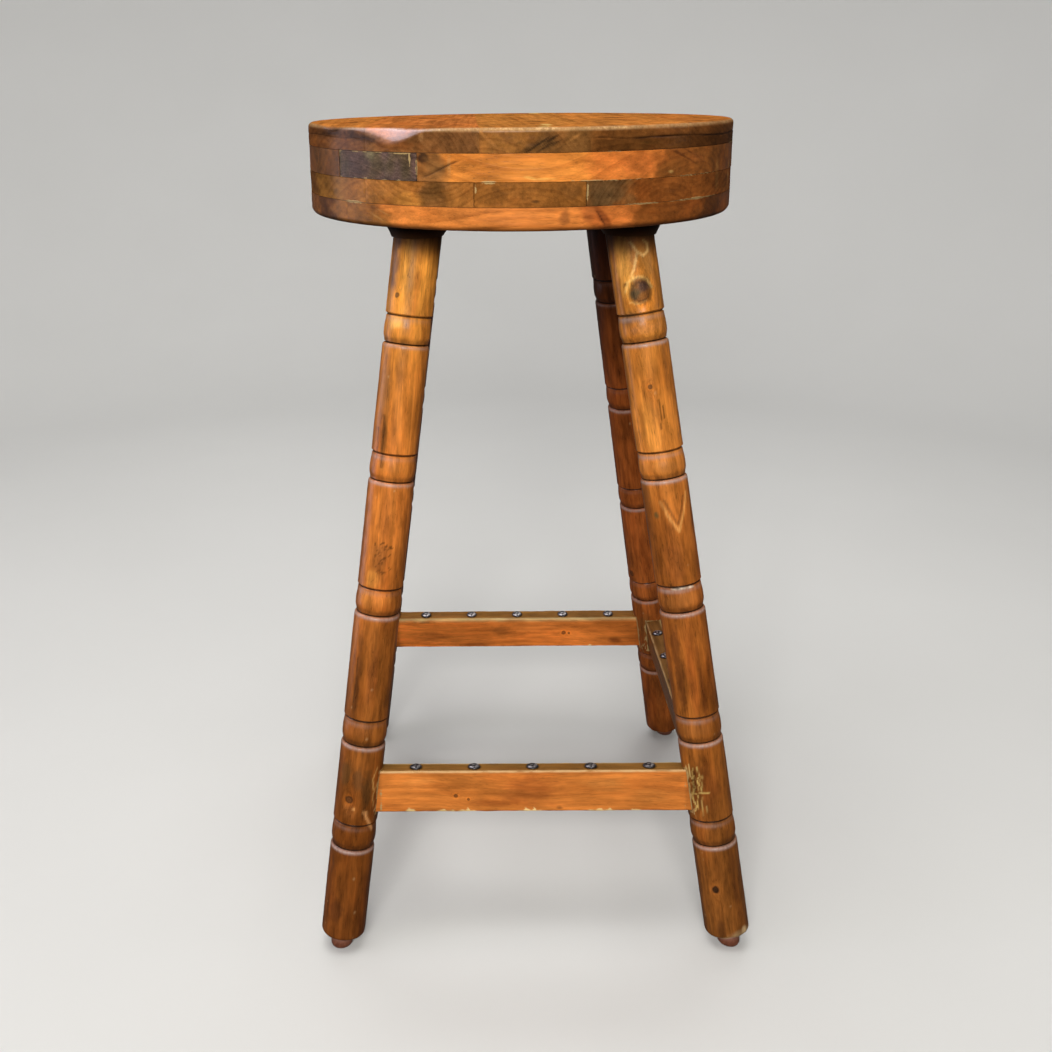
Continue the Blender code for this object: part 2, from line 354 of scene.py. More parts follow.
def pine(
    name, ring=0.0028, late=0.6, fibre=0.40, streaky=1.0, gloss=0.34,
    coat=0.14, shine=0.08, depth=1.0, dashes=0.25, mottle=0.25,
):
    """Stained, varnished pine. The grain attribute holds each point's place in the tree
    that its board was sawn from: rings run round its Z axis, and fibres along it."""
    g = Graph(name)
    tree = g.stored("grain", vector=True)
    tint = g.stored("tint", vector=True)
    knot = g.stored("knot")
    wear = g.stored("wear")
    grime = g.stored("grime")
    glue = g.stored("glue")
    bloom = g.stored("bloom")

    # Growth rings: soft pale early wood rising to a thin dark line, then a sharp end
    sway = g.cloud(tree, (17, 17, 3.5), 2)
    tremble = g.cloud(tree, (130, 130, 8), 2)
    flat = g.scaled(tree, (1, 1, 0))
    radius = g.put("VectorMath", {0: flat}, operation="LENGTH").outputs["Value"]
    radius = g.fma(sway, 0.0150, radius)
    radius = g.fma(tremble, 0.0010, radius)
    count = g.math("DIVIDE", radius, ring)
    part = g.math("FRACT", count)
    year = g.put("TexWhiteNoise", {"W": g.math("FLOOR", count)}, noise_dimensions="1D")
    rise = g.span(part, 0.20, 0.88)
    fall = g.span(part, 0.90, 1.0, 1.0, 0.0)
    weight = g.span(year.outputs[0], 0.0, 1.0, 0.20, 1.0, smooth=False)
    line = g.times(g.times(rise, fall), weight)

    # Fibres and pores along the grain, and slow changes in how the stain took
    fine = g.cloud(tree, (1500, 1500, 40), 3, 0.6)
    streak = g.cloud(tree, (330, 330, 6), 4, 0.6)
    blotch = g.cloud(tree, (34, 34, 11), 3, 0.55)
    pore = g.cloud(tree, (1300, 1300, 75), 2)
    pore = g.span(pore, 0.60, 0.74)

    colour = g.mix(g.times(line, late), tint, g.dyed(tint, (0.40, 0.27, 0.17)))
    shade = g.span(fine, 0.25, 0.75, 1 - fibre * 0.6, 1 + fibre * 0.45, smooth=False)
    swing = 0.24 * streaky
    shade = g.times(shade, g.span(streak, 0.28, 0.72, 1 - swing * 1.2, 1 + swing))
    shade = g.times(shade, g.span(blotch, 0.30, 0.70, 0.80, 1.16))
    cloud = g.cloud(tree, (120, 120, 30), 3, 0.6)
    shade = g.times(shade, g.span(cloud, 0.28, 0.72, 1 - mottle * 1.1, 1 + mottle * 0.9))
    # Short dark wavy lines, in patches: the edges of slow noise drawn out along the grain
    wave = g.cloud(tree, (360, 360, 34), 2, 0.6)
    vein = g.span(g.math("ABSOLUTE", g.add(wave, -0.5)), 0.0, 0.016, 1.0, 0.0)
    vein = g.times(vein, g.span(cloud, 0.42, 0.62, 0.9, 0.1))
    shade = g.fma(vein, -mottle, shade)
    shade = g.fma(pore, -dashes, shade)
    tinted = g.put("CombineColor", {0: shade, 1: shade, 2: shade}).outputs[0]
    colour = g.mix(1.0, colour, tinted, "MULTIPLY")
    warm = g.noise(g.moved(g.scaled(tree, (60, 60, 14)), (7, 3, 1)), 1.0, 2)
    warm = g.span(warm, 0.45, 0.75, 0.0, 0.30)
    colour = g.mix(warm, colour, g.dyed(colour, (1.06, 0.78, 0.62)))

    # Knots: a dark broken rim round a core with its own small rings
    ragged = g.cloud(tree, (420, 420, 160), 3)
    core = g.fma(g.add(ragged, -0.5), 0.95, knot)
    inside = g.span(core, 0.82, 1.02, 1.0, 0.0)
    rim = g.times(g.span(core, 0.60, 0.95), g.span(core, 1.0, 1.35, 1.0, 0.0))
    turns = g.math("SINE", g.times(core, 21.0))
    turns = g.span(turns, -1, 1, 0.0, 1.0)
    heart = g.mix(turns, (0.030, 0.014, 0.007, 1), (0.105, 0.046, 0.016, 1))
    heart = g.mix(g.span(ragged, 0.42, 0.66), heart, (0.012, 0.006, 0.004, 1))
    colour = g.mix(g.times(inside, 0.62), colour, heart)
    colour = g.over(colour, g.times(rim, 0.50), (0.020, 0.009, 0.004))
    halo = g.times(g.span(core, 1.05, 1.5), g.span(core, 1.5, 2.6, 1.0, 0.0))
    colour = g.mix(g.times(halo, 0.35), colour, g.dyed(colour, (1.5, 1.35, 1.0)))

    # Wear through the stain, glue, dust with painted sheen on rubbed edges, and dirt with painted
    # shade in the low places
    patchy = g.cloud(tree, (520, 520, 120), 4, 0.6)
    thin = g.times(g.span(wear, 0.05, 1.0), g.span(patchy, 0.25, 0.7, 0.35, 0.8))
    bare = g.span(g.add(wear, g.times(g.add(patchy, -0.5), 0.9)), 0.62, 0.92)
    bare = g.math("MAXIMUM", thin, bare)
    colour = g.over(colour, g.times(bare, 0.88), (0.64, 0.40, 0.18))
    dried = g.span(g.add(glue, g.times(g.add(patchy, -0.5), 1.2)), 0.42, 0.66)
    colour = g.over(colour, g.times(dried, 0.80), (0.50, 0.34, 0.14))
    # Lilac-grey on the legs' rubbed bead edges: dust, with a painted sheen of the light
    dusty_sheen = g.times(bloom, g.span(patchy, 0.3, 0.7, 0.55, 0.95))
    colour = g.over(colour, dusty_sheen, (0.46, 0.33, 0.29))
    # Near black in the low places: dirt, and painted shade in grooves, holes, under the seat and where
    # parts meet
    dirt_and_shade_share = g.span(g.add(grime, g.times(g.add(blotch, -0.5), 0.5)), 0.05, 0.95)
    colour = g.over(colour, g.times(dirt_and_shade_share, 0.93), (0.010, 0.005, 0.003))

    # Varnish: glossy where whole, dull where worn, with fine scratches
    scratch = g.cloud(tree, (90, 900, 1400), 2)
    scratch = g.span(scratch, 0.64, 0.72)
    rough = g.span(blotch, 0.3, 0.7, gloss - 0.06, gloss + 0.12)
    rough = g.fma(g.add(fine, -0.5), 0.22, rough)
    rough = g.fma(bare, 0.30, rough)
    rough = g.fma(dirt_and_shade_share, 0.30, rough)
    rough = g.fma(inside, 0.10, rough)
    rough = g.fma(scratch, 0.10, rough, clamp=True)

    height = g.times(line, 0.35 * depth)
    height = g.fma(fine, 0.38 * depth, height)
    height = g.fma(streak, 0.55 * depth, height)
    height = g.fma(pore, -0.5, height)
    height = g.fma(inside, -0.5, height)
    height = g.fma(turns, g.times(inside, 0.25), height)
    height = g.fma(bare, -0.35, height)
    height = g.fma(dried, 0.5, height)
    height = g.fma(scratch, -0.20, height)
    return g.surface(
        Base_Color=colour,
        Roughness=rough,
        Normal=g.bump(height, 0.40, 0.0003),
        Coat_Weight=g.times(g.stored("varnish"), coat),
        Coat_Roughness=0.22,
        Specular_IOR_Level=shine,
    )


def dark_stain_and_shade():
    """The collars: nearly black stain, thick and uneven, over turned wood. The black also
    stands in for the shade under the seat, and it is painted darkest at the top, next to the seat.
    """
    g = Graph("collar_dark")
    place = g.stored("local", vector=True)
    lathe = g.cloud(place, (60, 60, 1900), 3, 0.6)
    drip = g.cloud(place, (420, 420, 60), 4, 0.6)
    rubbed = g.span(g.noise(place, 900.0, 3, 0.65), 0.60, 0.72)
    foot = g.stored("wear")
    colour = g.mix(g.span(drip, 0.3, 0.7), (0.003, 0.0015, 0.001, 1), (0.014, 0.006, 0.003, 1))
    colour = g.over(colour, g.times(rubbed, 0.4), (0.060, 0.024, 0.008))
    # Lighter towards the collar's foot and darkest under the seat: painted shade, read from the wear
    # attribute
    colour = g.over(colour, g.times(foot, 0.85), (0.050, 0.021, 0.008))
    rough = g.fma(drip, 0.35, 0.28)
    height = g.fma(lathe, 0.6, g.times(drip, 0.8))
    return g.surface(
        Base_Color=colour,
        Roughness=rough,
        Normal=g.bump(height, 0.5, 0.0004),
        Specular_IOR_Level=0.05,
    )


def blued_steel():
    """Nail heads: dark blued steel, hammered, brighter where shoes rub them."""
    g = Graph("nail_steel")
    place = g.stored("local", vector=True)
    hammer = g.put("TexVoronoi", {"Vector": place, "Scale": 620.0}, feature="SMOOTH_F1")
    grain = g.noise(place, 2600.0, 4, 0.65)
    stain = g.noise(place, 480.0, 3, 0.6)
    rust = g.span(g.noise(g.moved(place, (3, 1, 2)), 900.0, 4, 0.7), 0.60, 0.74)
    top = g.span(g.put("SeparateXYZ", {0: place}).outputs[2], 0.0011, 0.0018)
    colour = g.mix(g.span(stain, 0.3, 0.7), (0.026, 0.024, 0.025, 1), (0.110, 0.102, 0.106, 1))
    rubbed = g.span(g.noise(g.moved(place, (5, 2, 4)), 420.0, 2, 0.5), 0.46, 0.60)
    colour = g.over(colour, g.times(g.times(top, rubbed), 0.8), (0.58, 0.54, 0.53))
    colour = g.over(colour, g.times(rust, 0.7), (0.060, 0.024, 0.010))
    rough = g.fma(grain, 0.30, 0.28)
    rough = g.fma(rust, 0.35, rough, clamp=True)
    height = g.fma(hammer.outputs[0], 1.0, g.times(grain, 0.25))
    metal = g.math("SUBTRACT", 1.0, g.times(rust, 0.8))
    return g.surface(
        Base_Color=colour,
        Metallic=metal,
        Roughness=rough,
        Normal=g.bump(height, 0.45, 0.0003),
    )


def brown_plastic():
    """Glides: reddish-brown plastic, scuffed dull, with a pale band round the top under the leg."""
    g = Graph("glide_brown")
    place = g.stored("local", vector=True)
    cloud = g.noise(place, 260.0, 4, 0.6)
    scuff = g.cloud(place, (1200, 420, 2600), 4, 0.65)
    scuff = g.span(scuff, 0.52, 0.68)
    wear = g.stored("wear")
    colour = g.mix(g.span(cloud, 0.3, 0.7), (0.120, 0.034, 0.016, 1), (0.220, 0.070, 0.032, 1))
    colour = g.over(colour, g.times(scuff, 0.30), (0.42, 0.22, 0.17))
    colour = g.over(colour, g.times(wear, 0.80), (0.62, 0.38, 0.30))
    rough = g.fma(scuff, 0.28, 0.30)
    rough = g.fma(wear, 0.20, rough, clamp=True)
    height = g.fma(scuff, -0.5, g.times(cloud, 0.4))
    return g.surface(
        Base_Color=colour,
        Roughness=rough,
        Normal=g.bump(height, 0.4, 0.0003),
        Coat_Weight=0.2,
        Coat_Roughness=0.3,
    )


MATERIALS = {
    "pine_end_grain": pine(
        "seat_end_grain", ring=0.0036, late=0.34, fibre=0.26, streaky=0.5, coat=1.0, shine=0.0
    ),
    "pine_long_grain": pine("seat_long_grain", ring=0.0048, late=0.30, fibre=0.22, streaky=0.45),
    "grey_block": pine(
        "seat_grey_block", ring=0.0022, late=0.45, fibre=0.75, gloss=0.44, coat=0.1, depth=1.8
    ),
    "leg_pine": pine(
        "leg_pine", ring=0.0040, late=0.30, fibre=0.30, streaky=0.52, gloss=0.36, coat=0.20,
        dashes=0.32, mottle=0.32,
    ),
    "stretcher_pine": pine(
        "stretcher_pine", ring=0.0060, late=0.26, fibre=0.30, streaky=0.36, mottle=0.18
    ),
    "collar_dark": dark_stain_and_shade(),
    "nail_steel": blued_steel(),
    "glide_brown": brown_plastic(),
}


# ------------------------------------------------------------ knots and grain


def warp_round_knots(points, tree, knots, lengthwise):
    """Bends the rings round each knot. knots holds (place, radius) pairs, and lengthwise
    is the fibres' direction. Returns the bent tree places and the distance to the
    nearest knot, in that knot's radii."""
    nearest = np.full(len(points), 4.0)
    along = np.asarray(lengthwise, float)
    for place, radius in knots:
        apart = points - np.asarray(place)
        run = apart @ along
        across = np.linalg.norm(apart - run[:, None] * along, axis=1)
        round_it = np.hypot(across, run) / radius
        stretched = np.hypot(across, run * 0.55) / radius
        push = radius * 1.7 * np.exp(-((stretched / 1.7) ** 2))
        reach = np.maximum(np.linalg.norm(tree[:, :2], axis=1), 1e-4)
        tree[:, :2] *= (1 + push / reach)[:, None]
        nearest = np.minimum(nearest, round_it)
    return tree, nearest


# ------------------------------------------------------------------------- seat

# How each layer's colour runs round the rim: (degrees from the front, colour), left to
# right, each colour lasting up to the next. It is stain, with painted shade as well: brightest
# at the front, darker towards the left and right where the rim turns from the light. The
# back is treated alike.
RIM_TONES = (
    (
        (-180, (128, 82, 44)), (-150, (108, 68, 34)), (-95, (120, 74, 38)), (-42.7, (132, 86, 46)),
        (-32, (124, 80, 42)), (-11.7, (146, 95, 42)), (3.0, (124, 82, 40)), (14.0, (126, 77, 34)),
        (42.7, (118, 71, 32)), (100, (116, 70, 34)), (140, (134, 86, 44)),
    ),
    (
        (-180, (214, 130, 58)), (-125, (190, 112, 50)), (-80, (116, 72, 32)),
        (-27.3, (156, 102, 52)), (-20, (230, 142, 60)), (14, (214, 124, 54)), (33, (146, 86, 36)),
        (70, (132, 78, 34)), (112, (176, 102, 44)), (150, (206, 124, 56)),
    ),
    (
        (-180, (140, 88, 40)), (-120, (116, 72, 34)), (-70, (146, 97, 41)), (-51, (154, 99, 44)),
        (-27, (138, 90, 46)), (-19.6, (158, 100, 44)), (-13.0, (146, 91, 38)),
        (13.3, (118, 80, 42)), (23, (144, 82, 34)), (60, (134, 78, 32)), (130, (138, 84, 38)),
    ),
    (
        (-180, (206, 120, 52)), (-130, (150, 92, 42)), (-68, (96, 56, 22)), (-57, (148, 94, 39)),
        (-36, (212, 126, 56)), (13.5, (176, 96, 42)), (20, (196, 112, 50)), (27, (142, 80, 32)),
        (50, (100, 58, 26)), (60, (132, 76, 32)), (110, (184, 106, 46)),
    ),
)

# Marks in the stain on the rim, layer by layer: degrees from the front, metres down from
# the layer's top, half width in degrees, half height, slope down per degree, colour, share
RIM_MARKS = (
    (
        (-73, 0.009, 6.0, 0.014, 0, (150, 88, 36), 0.7),
        (-56, 0.0042, 8.5, 0.004, 0, (56, 33, 16), 0.85),
        (-44, 0.0085, 6.0, 0.0028, 0.0004, (66, 40, 20), 0.75),
        (-33, 0.0125, 6.0, 0.0045, 0, (128, 76, 36), 0.8),
        (-25.9, 0.0065, 0.6, 0.003, 0, (176, 126, 76), 0.5),
        (-9.2, 0.0095, 2.6, 0.0016, 0.0027, (178, 120, 60), 0.6),
        (-6.5, 0.005, 2.4, 0.003, 0.002, (122, 76, 34), 0.6),
        (3.4, 0.0105, 4.2, 0.0064, -0.0008, (104, 70, 36), 0.75),
        (-1.0, 0.0152, 2.0, 0.0008, -0.0016, (84, 58, 30), 0.7),
        (0.9, 0.0138, 2.4, 0.0009, -0.0019, (64, 44, 22), 0.85),
        (3.6, 0.0135, 2.2, 0.0008, -0.0019, (62, 42, 22), 0.85),
        (6.4, 0.01, 2.0, 0.0008, -0.0018, (66, 46, 24), 0.75),
        (2.4, 0.0105, 2.9, 0.0008, -0.0019, (58, 40, 20), 0.9),
        (4.4, 0.0098, 2.4, 0.0007, -0.0018, (70, 48, 24), 0.8),
        (5.6, 0.0068, 2.0, 0.001, -0.0016, (56, 38, 20), 0.85),
        (7.2, 0.0135, 2.6, 0.001, -0.0018, (92, 62, 30), 0.7),
        (9.4, 0.009, 2.4, 0.0014, -0.0019, (172, 116, 58), 0.65),
        (30, 0.0125, 3.0, 0.0016, 0, (116, 76, 34), 0.5),
    ),
    (
        (-75, 0.01, 5.5, 0.014, 0, (140, 82, 34), 0.65),
        (-25.4, 0.0036, 1.4, 0.0034, 0, (44, 30, 24), 0.9),
        (-22.0, 0.01, 3.4, 0.009, 0, (124, 86, 46), 0.6),
        (-18.9, 0.0095, 0.5, 0.0085, 0, (216, 158, 92), 0.5),
        (-4.0, 0.01, 8.0, 0.007, 0, (238, 154, 66), 0.4),
        (0.0, 0.0172, 1.6, 0.0012, 0.0006, (246, 190, 96), 0.5),
        (3.4, 0.0182, 2.4, 0.001, 0, (246, 190, 96), 0.5),
        (27, 0.01, 6.0, 0.008, 0, (216, 116, 52), 0.5),
        (36.6, 0.0165, 1.2, 0.0014, 0, (222, 176, 100), 0.6),
        (41.0, 0.006, 5.0, 0.0012, 0.0012, (84, 44, 18), 0.6),
        (44.0, 0.004, 5.0, 0.001, 0.0012, (88, 48, 20), 0.6),
        (46.0, 0.007, 3.4, 0.0036, 0.0006, (172, 100, 46), 0.6),
        (56.0, 0.009, 4.0, 0.01, 0, (100, 60, 24), 0.5),
        (57.6, 0.018, 1.1, 0.006, 0, (156, 102, 50), 0.75),
        (68.6, 0.017, 0.9, 0.007, 0, (176, 124, 62), 0.7),
    ),
    (
        (-64, 0.009, 6.0, 0.01, 0, (140, 94, 44), 0.5),
        (-38, 0.005, 8.0, 0.006, 0, (176, 112, 50), 0.6),
        (-30, 0.013, 4.5, 0.005, 0, (186, 122, 52), 0.6),
        (-23, 0.0085, 3.4, 0.009, 0, (108, 72, 34), 0.8),
        (1.4, 0.0135, 1.3, 0.0013, 0, (80, 50, 24), 0.8),
        (9.5, 0.006, 3.4, 0.006, 0, (122, 78, 36), 0.6),
        (18.5, 0.0085, 5.2, 0.011, 0, (100, 72, 42), 0.85),
        (57.8, 0.006, 1.1, 0.009, 0, (156, 102, 50), 0.75),
        (68.6, 0.006, 0.9, 0.01, 0, (176, 124, 62), 0.7),
    ),
    (
        (-38, 0.005, 2.4, 0.0008, 0.0012, (190, 140, 78), 0.5),
        (-40, 0.009, 2.4, 0.0008, 0.0012, (190, 140, 78), 0.4),
        (8.2, 0.0065, 1.2, 0.0064, 0, (142, 82, 38), 0.75),
        (14.2, 0.005, 1.6, 0.007, 0, (150, 84, 38), 0.7),
        (17.6, 0.0085, 2.0, 0.005, 0.003, (112, 56, 24), 0.75),
        (22.5, 0.0075, 2.6, 0.007, 0, (216, 122, 54), 0.5),
        (66, 0.0095, 5.0, 0.009, 0, (156, 88, 38), 0.7),
    ),
)

# The stain on each board's sitting face, and on each one's underside
TOP_TONES = ((172, 106, 46), (176, 104, 48), (172, 110, 48), (176, 110, 48), (168, 102, 44))
UNDER_TONES = ((196, 128, 66), (184, 112, 54), (204, 134, 70), (176, 108, 52), (192, 122, 60))

# Where each board's heart lies, layer by layer, in the plane across its grain, in metres
# from the board's middle: sideways and up, then how far the fibres stray sideways
HEARTS = (
    (
        (0.03, -0.05, 0.03), (-0.014, -0.03, -0.02), (-0.044, -0.06, 0.03), (-0.02, -0.09, 0.02),
        (0.06, 0.07, -0.03),
    ),
    ((0.004, -0.034, 0.025), (0.012, 0.04, -0.03), (-0.016, -0.028, 0.02), (0.02, -0.04, 0.03)),
    (
        (0.036, -0.03, 0.02), (0.01, 0.05, -0.02), (-0.008, -0.08, 0.02), (0.026, -0.028, -0.03),
        (-0.03, 0.03, 0.02),
    ),
    (
        (0.006, 0.05, 0.02), (-0.012, 0.04, 0.03), (0.018, -0.036, -0.02), (-0.01, 0.044, 0.03),
        (0.014, -0.04, -0.02),
    ),
)

# Knots on the rim as layer, degrees from the front, metres down from the layer's top and
# radius, and those on the sitting face and the underside as (x, y) and radius
RIM_KNOTS = (
    (0, 118.0, 0.009, 0.005), (1, 160.0, 0.01, 0.006), (1, -118.0, 0.011, 0.0042),
    (2, 96.0, 0.009, 0.0042), (3, -100.0, 0.0085, 0.0048), (3, 170.0, 0.008, 0.004),
)
TOP_KNOTS = (
    ((-0.08, 0.062), 0.0085), ((0.012, -0.048), 0.007), ((0.082, 0.02), 0.01),
    ((-0.004, 0.118), 0.006), ((0.104, -0.082), 0.0055), ((-0.142, -0.03), 0.006),
)
UNDER_KNOTS = (
    ((0.03, -0.072), 0.008), ((-0.06, 0.01), 0.011), ((0.12, 0.03), 0.007), ((-0.02, 0.09), 0.008),
)

# Dried glue on the rim: layer, degrees, metres down, width in degrees, height, amount
RIM_GLUE = (
    (1, -29.2, 0.004, 0.35, 0.006, 1.0), (1, -27.3, 0.01, 0.3, 0.009, 0.9),
    (1, -32.0, 0.0006, 4.0, 0.0008, 0.8), (1, -9.5, 0.02, 2.0, 0.001, 1.0),
    (1, 14.0, 0.02, 9.0, 0.0008, 0.7), (2, -9.5, 0.0004, 2.0, 0.0008, 1.0),
    (2, -12.6, 0.005, 0.3, 0.005, 0.9), (2, 13.5, 0.007, 0.3, 0.007, 1.1),
    (2, -48.0, 0.0176, 6.0, 0.001, 0.9), (2, 47.0, 0.0176, 4.0, 0.001, 0.9),
    (3, -48.0, 0.0002, 6.0, 0.0008, 0.8), (3, 47.0, 0.0002, 4.0, 0.0008, 0.9),
)


# Pale filler on the sitting face: middle, half width and half depth
TOP_GLUE = (
    (-0.14, 0.108, 0.006, 0.005), (0.023, 0.166, 0.006, 0.011), (0.011, -0.164, 0.0042, 0.011),
    (0.015, -0.125, 0.004, 0.014), (0.13, 0.09, 0.005, 0.005),
)


def rim_place(degrees, height, radius=SEAT_RADIUS):
    angle = math.radians(degrees)
    return (radius * math.sin(angle), -radius * math.cos(angle), height)


def crack_down(degrees, ply):
    """How far down a layer each of its rim cracks runs, at each angle, as
    (distance down, width) pairs. A width of nothing is no crack."""
    a = np.asarray(degrees, float)
    if ply == 0:
        left = 0.0084 + 0.0075 * ease(-44, -35.5, a) + 0.0006 * np.sin(a * 0.21)
        right = 0.0094 + 0.0009 * np.sin(a * 0.13) - 0.0022 * bell(a, 16, 5)
        return (
            (left, 0.55 * ease(-97, -88, a) * ease(-34.6, -36.5, a)),
            (right, ease(12.6, 17, a) * ease(112, 100, a)),
        )
    if ply == 1:
        slant = 0.0178 - 0.0135 * ease(-27.5, -14.5, a)
        return ((slant, ease(-27.2, -25, a) * ease(-14.5, -18, a)),)
    if ply == 3:
        slant = 0.0030 + 0.0110 * ease(15.4, 18.6, a)
        return ((slant, 0.8 * ease(15.4, 16.0, a) * ease(18.6, 17.8, a)),)
    return ()


def edge_hollow(degrees):
    """The worn hollow in the top edge at the front left: how deep it reaches at each
    angle, from 0 to 1."""
    a = np.asarray(degrees, float)
    return np.clip(bell(a, -35, 9.0) + 0.45 * bell(a, -58, 7.0), 0, 1)


def rounded(inset, depth, size):
    """Where a point beside a square edge lands once the edge is rounded off."""
    on_face, on_side = np.minimum(inset / size, 1), np.minimum(depth / size, 1)
    arc = np.radians(np.where(inset > 0, 45 + 45 * on_face, 45 - 45 * on_side))
    near = (inset < size) & (depth < size)
    return (
        np.where(near, size - size * np.cos(arc), inset),
        np.where(near, size - size * np.sin(arc), depth),
    )


def disc(ply, top, bottom):
    """One whole layer of the seat, dense round its rim and on its open faces."""
    height = top - bottom
    first, last = ply == 0, ply == len(PLY_HEIGHTS) - 1
    apart = (0, 0.0005, 0.0011, 0.0018, 0.0026, 0.0035, 0.005, 0.007, 0.010, 0.014)
    inner = (*apart, *np.linspace(0.020, 0.176, 27)) if first or last else (0,)
    angles = np.arange(RIM_SEGMENTS) * 2 * math.pi / RIM_SEGMENTS
    around = turn_from(np.degrees(angles), 0)
    # From the middle of the top, over the rim, to the middle of the bottom
    rings = [(0.0, h) for h in np.linspace(0, height, 1 + round(height / RIM_ROW))]
    if first:
        rings = [(d, 0.0) for d in reversed(inner[1:])] + rings
    if last:
        rings += [(d, height) for d in inner[1:]]
    points = []
    for inset, down in rings:
        if first:
            size = TOP_EDGE_ROUND * (1 + 0.10 * np.sin(angles * 5) * np.sin(angles * 3 + 1))
            inset, down = rounded(inset, down, size)
            worn = edge_hollow(around)
            reach = np.maximum(1 - down / (HOLLOW_DEPTH * np.maximum(worn, 0.3)), 0)
            inset = inset + HOLLOW_PULL * worn * reach**1.45 * bell(inset, 0, 0.014)
            down = down + 0.0012 * worn * bell(inset, 0, 0.012) * (reach > 0.9)
        if last:
            inset, up = rounded(inset, height - down, BOTTOM_EDGE_ROUND)
            down = height - up
        cut = np.zeros(RIM_SEGMENTS)
        for depth, width in crack_down(around, ply):
            near = np.clip(1 - np.abs(down - depth) / 0.0009, 0, 1)
            cut = np.maximum(cut, CRACK_DEPTH * width * near)
        radius = SEAT_RADIUS - inset - cut * (inset < 0.004)
        x, y = radius * np.sin(angles), -radius * np.cos(angles)
        points.append(np.stack([x, y, top - down + 0 * x], 1))
    points = np.concatenate(points)
    # Sanding leaves the rim slightly uneven, more so between layers, and the top a
    # little hollowed by use
    around = points * (1, 1, 2.5)
    reach = np.linalg.norm(points[:, :2], axis=1)
    uneven = 0.00022 * (fuzz(around, 32, ply) - 1) + 0.00007 * (fuzz(around, 150, ply) - 1)
    shrink(points, reach, -ease(SEAT_RADIUS * 0.9, SEAT_RADIUS * 0.98, reach) * uneven)
    if first:
        inside = ease(0.172, 0.10, reach)
        points[:, 2] -= inside * (0.0004 + 0.00025 * (fuzz(points, 26, 5) + 1) / 2)
    return new_object(f"layer_{ply}", points, skin(RIM_SEGMENTS, len(rings)))


def joint_gap(place):
    return GAP if place in OPEN_JOINTS else GLUED_GAP


def slice_board(source, name, cuts):
    """A copy of a layer cut down by planes across X (0) or Y (1), with extra rows of points
    close to each cut. cuts holds (axis, place, keep_above) rows."""
    bm = bmesh.new()
    bm.from_mesh(source.data)
    for axis, place, keep_above in cuts:
        sign = 1 if keep_above else -1
        normal, point = Vector((0, 0, 0)), Vector((0, 0, 0))
        normal[axis] = -sign
        chamfer = (0.0022, 0.0009, 0.0004)
        for inset in (*chamfer, joint_gap(place) / 2):
            point[axis] = place + sign * inset
            made = bmesh.ops.bisect_plane(
                bm,
                geom=[*bm.verts, *bm.edges, *bm.faces],
                plane_co=point,
                plane_no=normal,
                clear_outer=inset not in chamfer,
            )
        edges = [e for e in made["geom_cut"] if isinstance(e, bmesh.types.BMEdge)]
        edges = [e for e in edges if e.is_valid and len(e.link_faces) == 1]
        bmesh.ops.contextual_create(bm, geom=edges)
    bmesh.ops.recalc_face_normals(bm, faces=bm.faces)
    board = new_object(name, [], [])
    bm.to_mesh(board.data)
    bm.free()
    return board


def soften_cuts(obj, cuts):
    """Rounds a board's long edges by moving the points next to its cut faces."""
    points = points_of(obj)
    reach = np.linalg.norm(points[:, :2], axis=1)
    for axis, place, keep_above in cuts:
        sign = 1 if keep_above else -1
        near = bell((points[:, axis] - place) * sign, 0.0, 0.0006)
        near *= 1.0 if place in OPEN_JOINTS else 0.25
        rim = ease(SEAT_RADIUS - 0.006, SEAT_RADIUS - 0.002, reach)
        shrink(points, reach, np.maximum(0.00035 * near * rim * (0.7 + 0.5 * fuzz(points, 300, 3)), 0))
        points[:, 2] -= 0.00025 * near * ease(SEAT_TOP - 0.0012, SEAT_TOP - 0.0006, points[:, 2])
    move_points(obj, points)


def rim_tone(degrees, ply, wander):
    """The rim's colour, stain with painted shade towards the sides, changing sharply at joints and
    softly between.
    """
    rows = RIM_TONES[ply]
    result = np.tile(tone(*rows[-1][1]), (len(degrees), 1))
    joints = [math.degrees(math.asin(place / SEAT_RADIUS)) for place in PLY_JOINTS[ply]]
    for start, colour in rows:
        at_joint = ply in (0, 2) and min(abs(start - j) for j in joints) < 1
        soft = (1.4 if ply == 0 else 0.3) if at_joint else 2.4
        where = degrees if at_joint else degrees + wander
        result = blend(result, colour, ease(start - soft, start + soft, where))
    return result


def back_marks():
    """More marks of the same kind, for the part of the rim away from the front."""
    luck = np.random.RandomState(41)
    marks = [[] for _ in PLY_HEIGHTS]
    for _ in range(64):
        ply = luck.randint(0, 4)
        place = luck.uniform(78, 282)
        deep = luck.uniform(0.003, 0.015)
        red = luck.choice((64, 92, 120, 176, 204), p=(0.15, 0.25, 0.25, 0.2, 0.15))
        if ply % 2 == 0:
            red *= 0.8
        wide, tall = luck.uniform(1.0, 6.0), luck.uniform(0.0012, 0.0080)
        slope = luck.uniform(-0.0015, 0.0015) if tall < 0.003 else 0
        colour = (red, red * 0.61, red * 0.28)
        marks[ply].append((place, deep, wide, tall, slope, colour, luck.uniform(0.3, 0.7)))
    return marks


def stain_marks(tint, points, degrees, down, marks):
    """Blends ragged oval marks into the tint: degrees round, distance down, half width,
    half height, slope, colour and share."""
    ragged = 0.34 * fuzz(points, 110, 31) + 0.22 * fuzz(points, 420, 32)
    for place, deep, wide, tall, slope, colour, share in marks:
        turn = turn_from(degrees, place)
        far = np.hypot(turn / wide, (down - deep - slope * turn) / tall)
        tint = blend(tint, colour, share * ease(1.3, 0.5, far + ragged))
    return tint


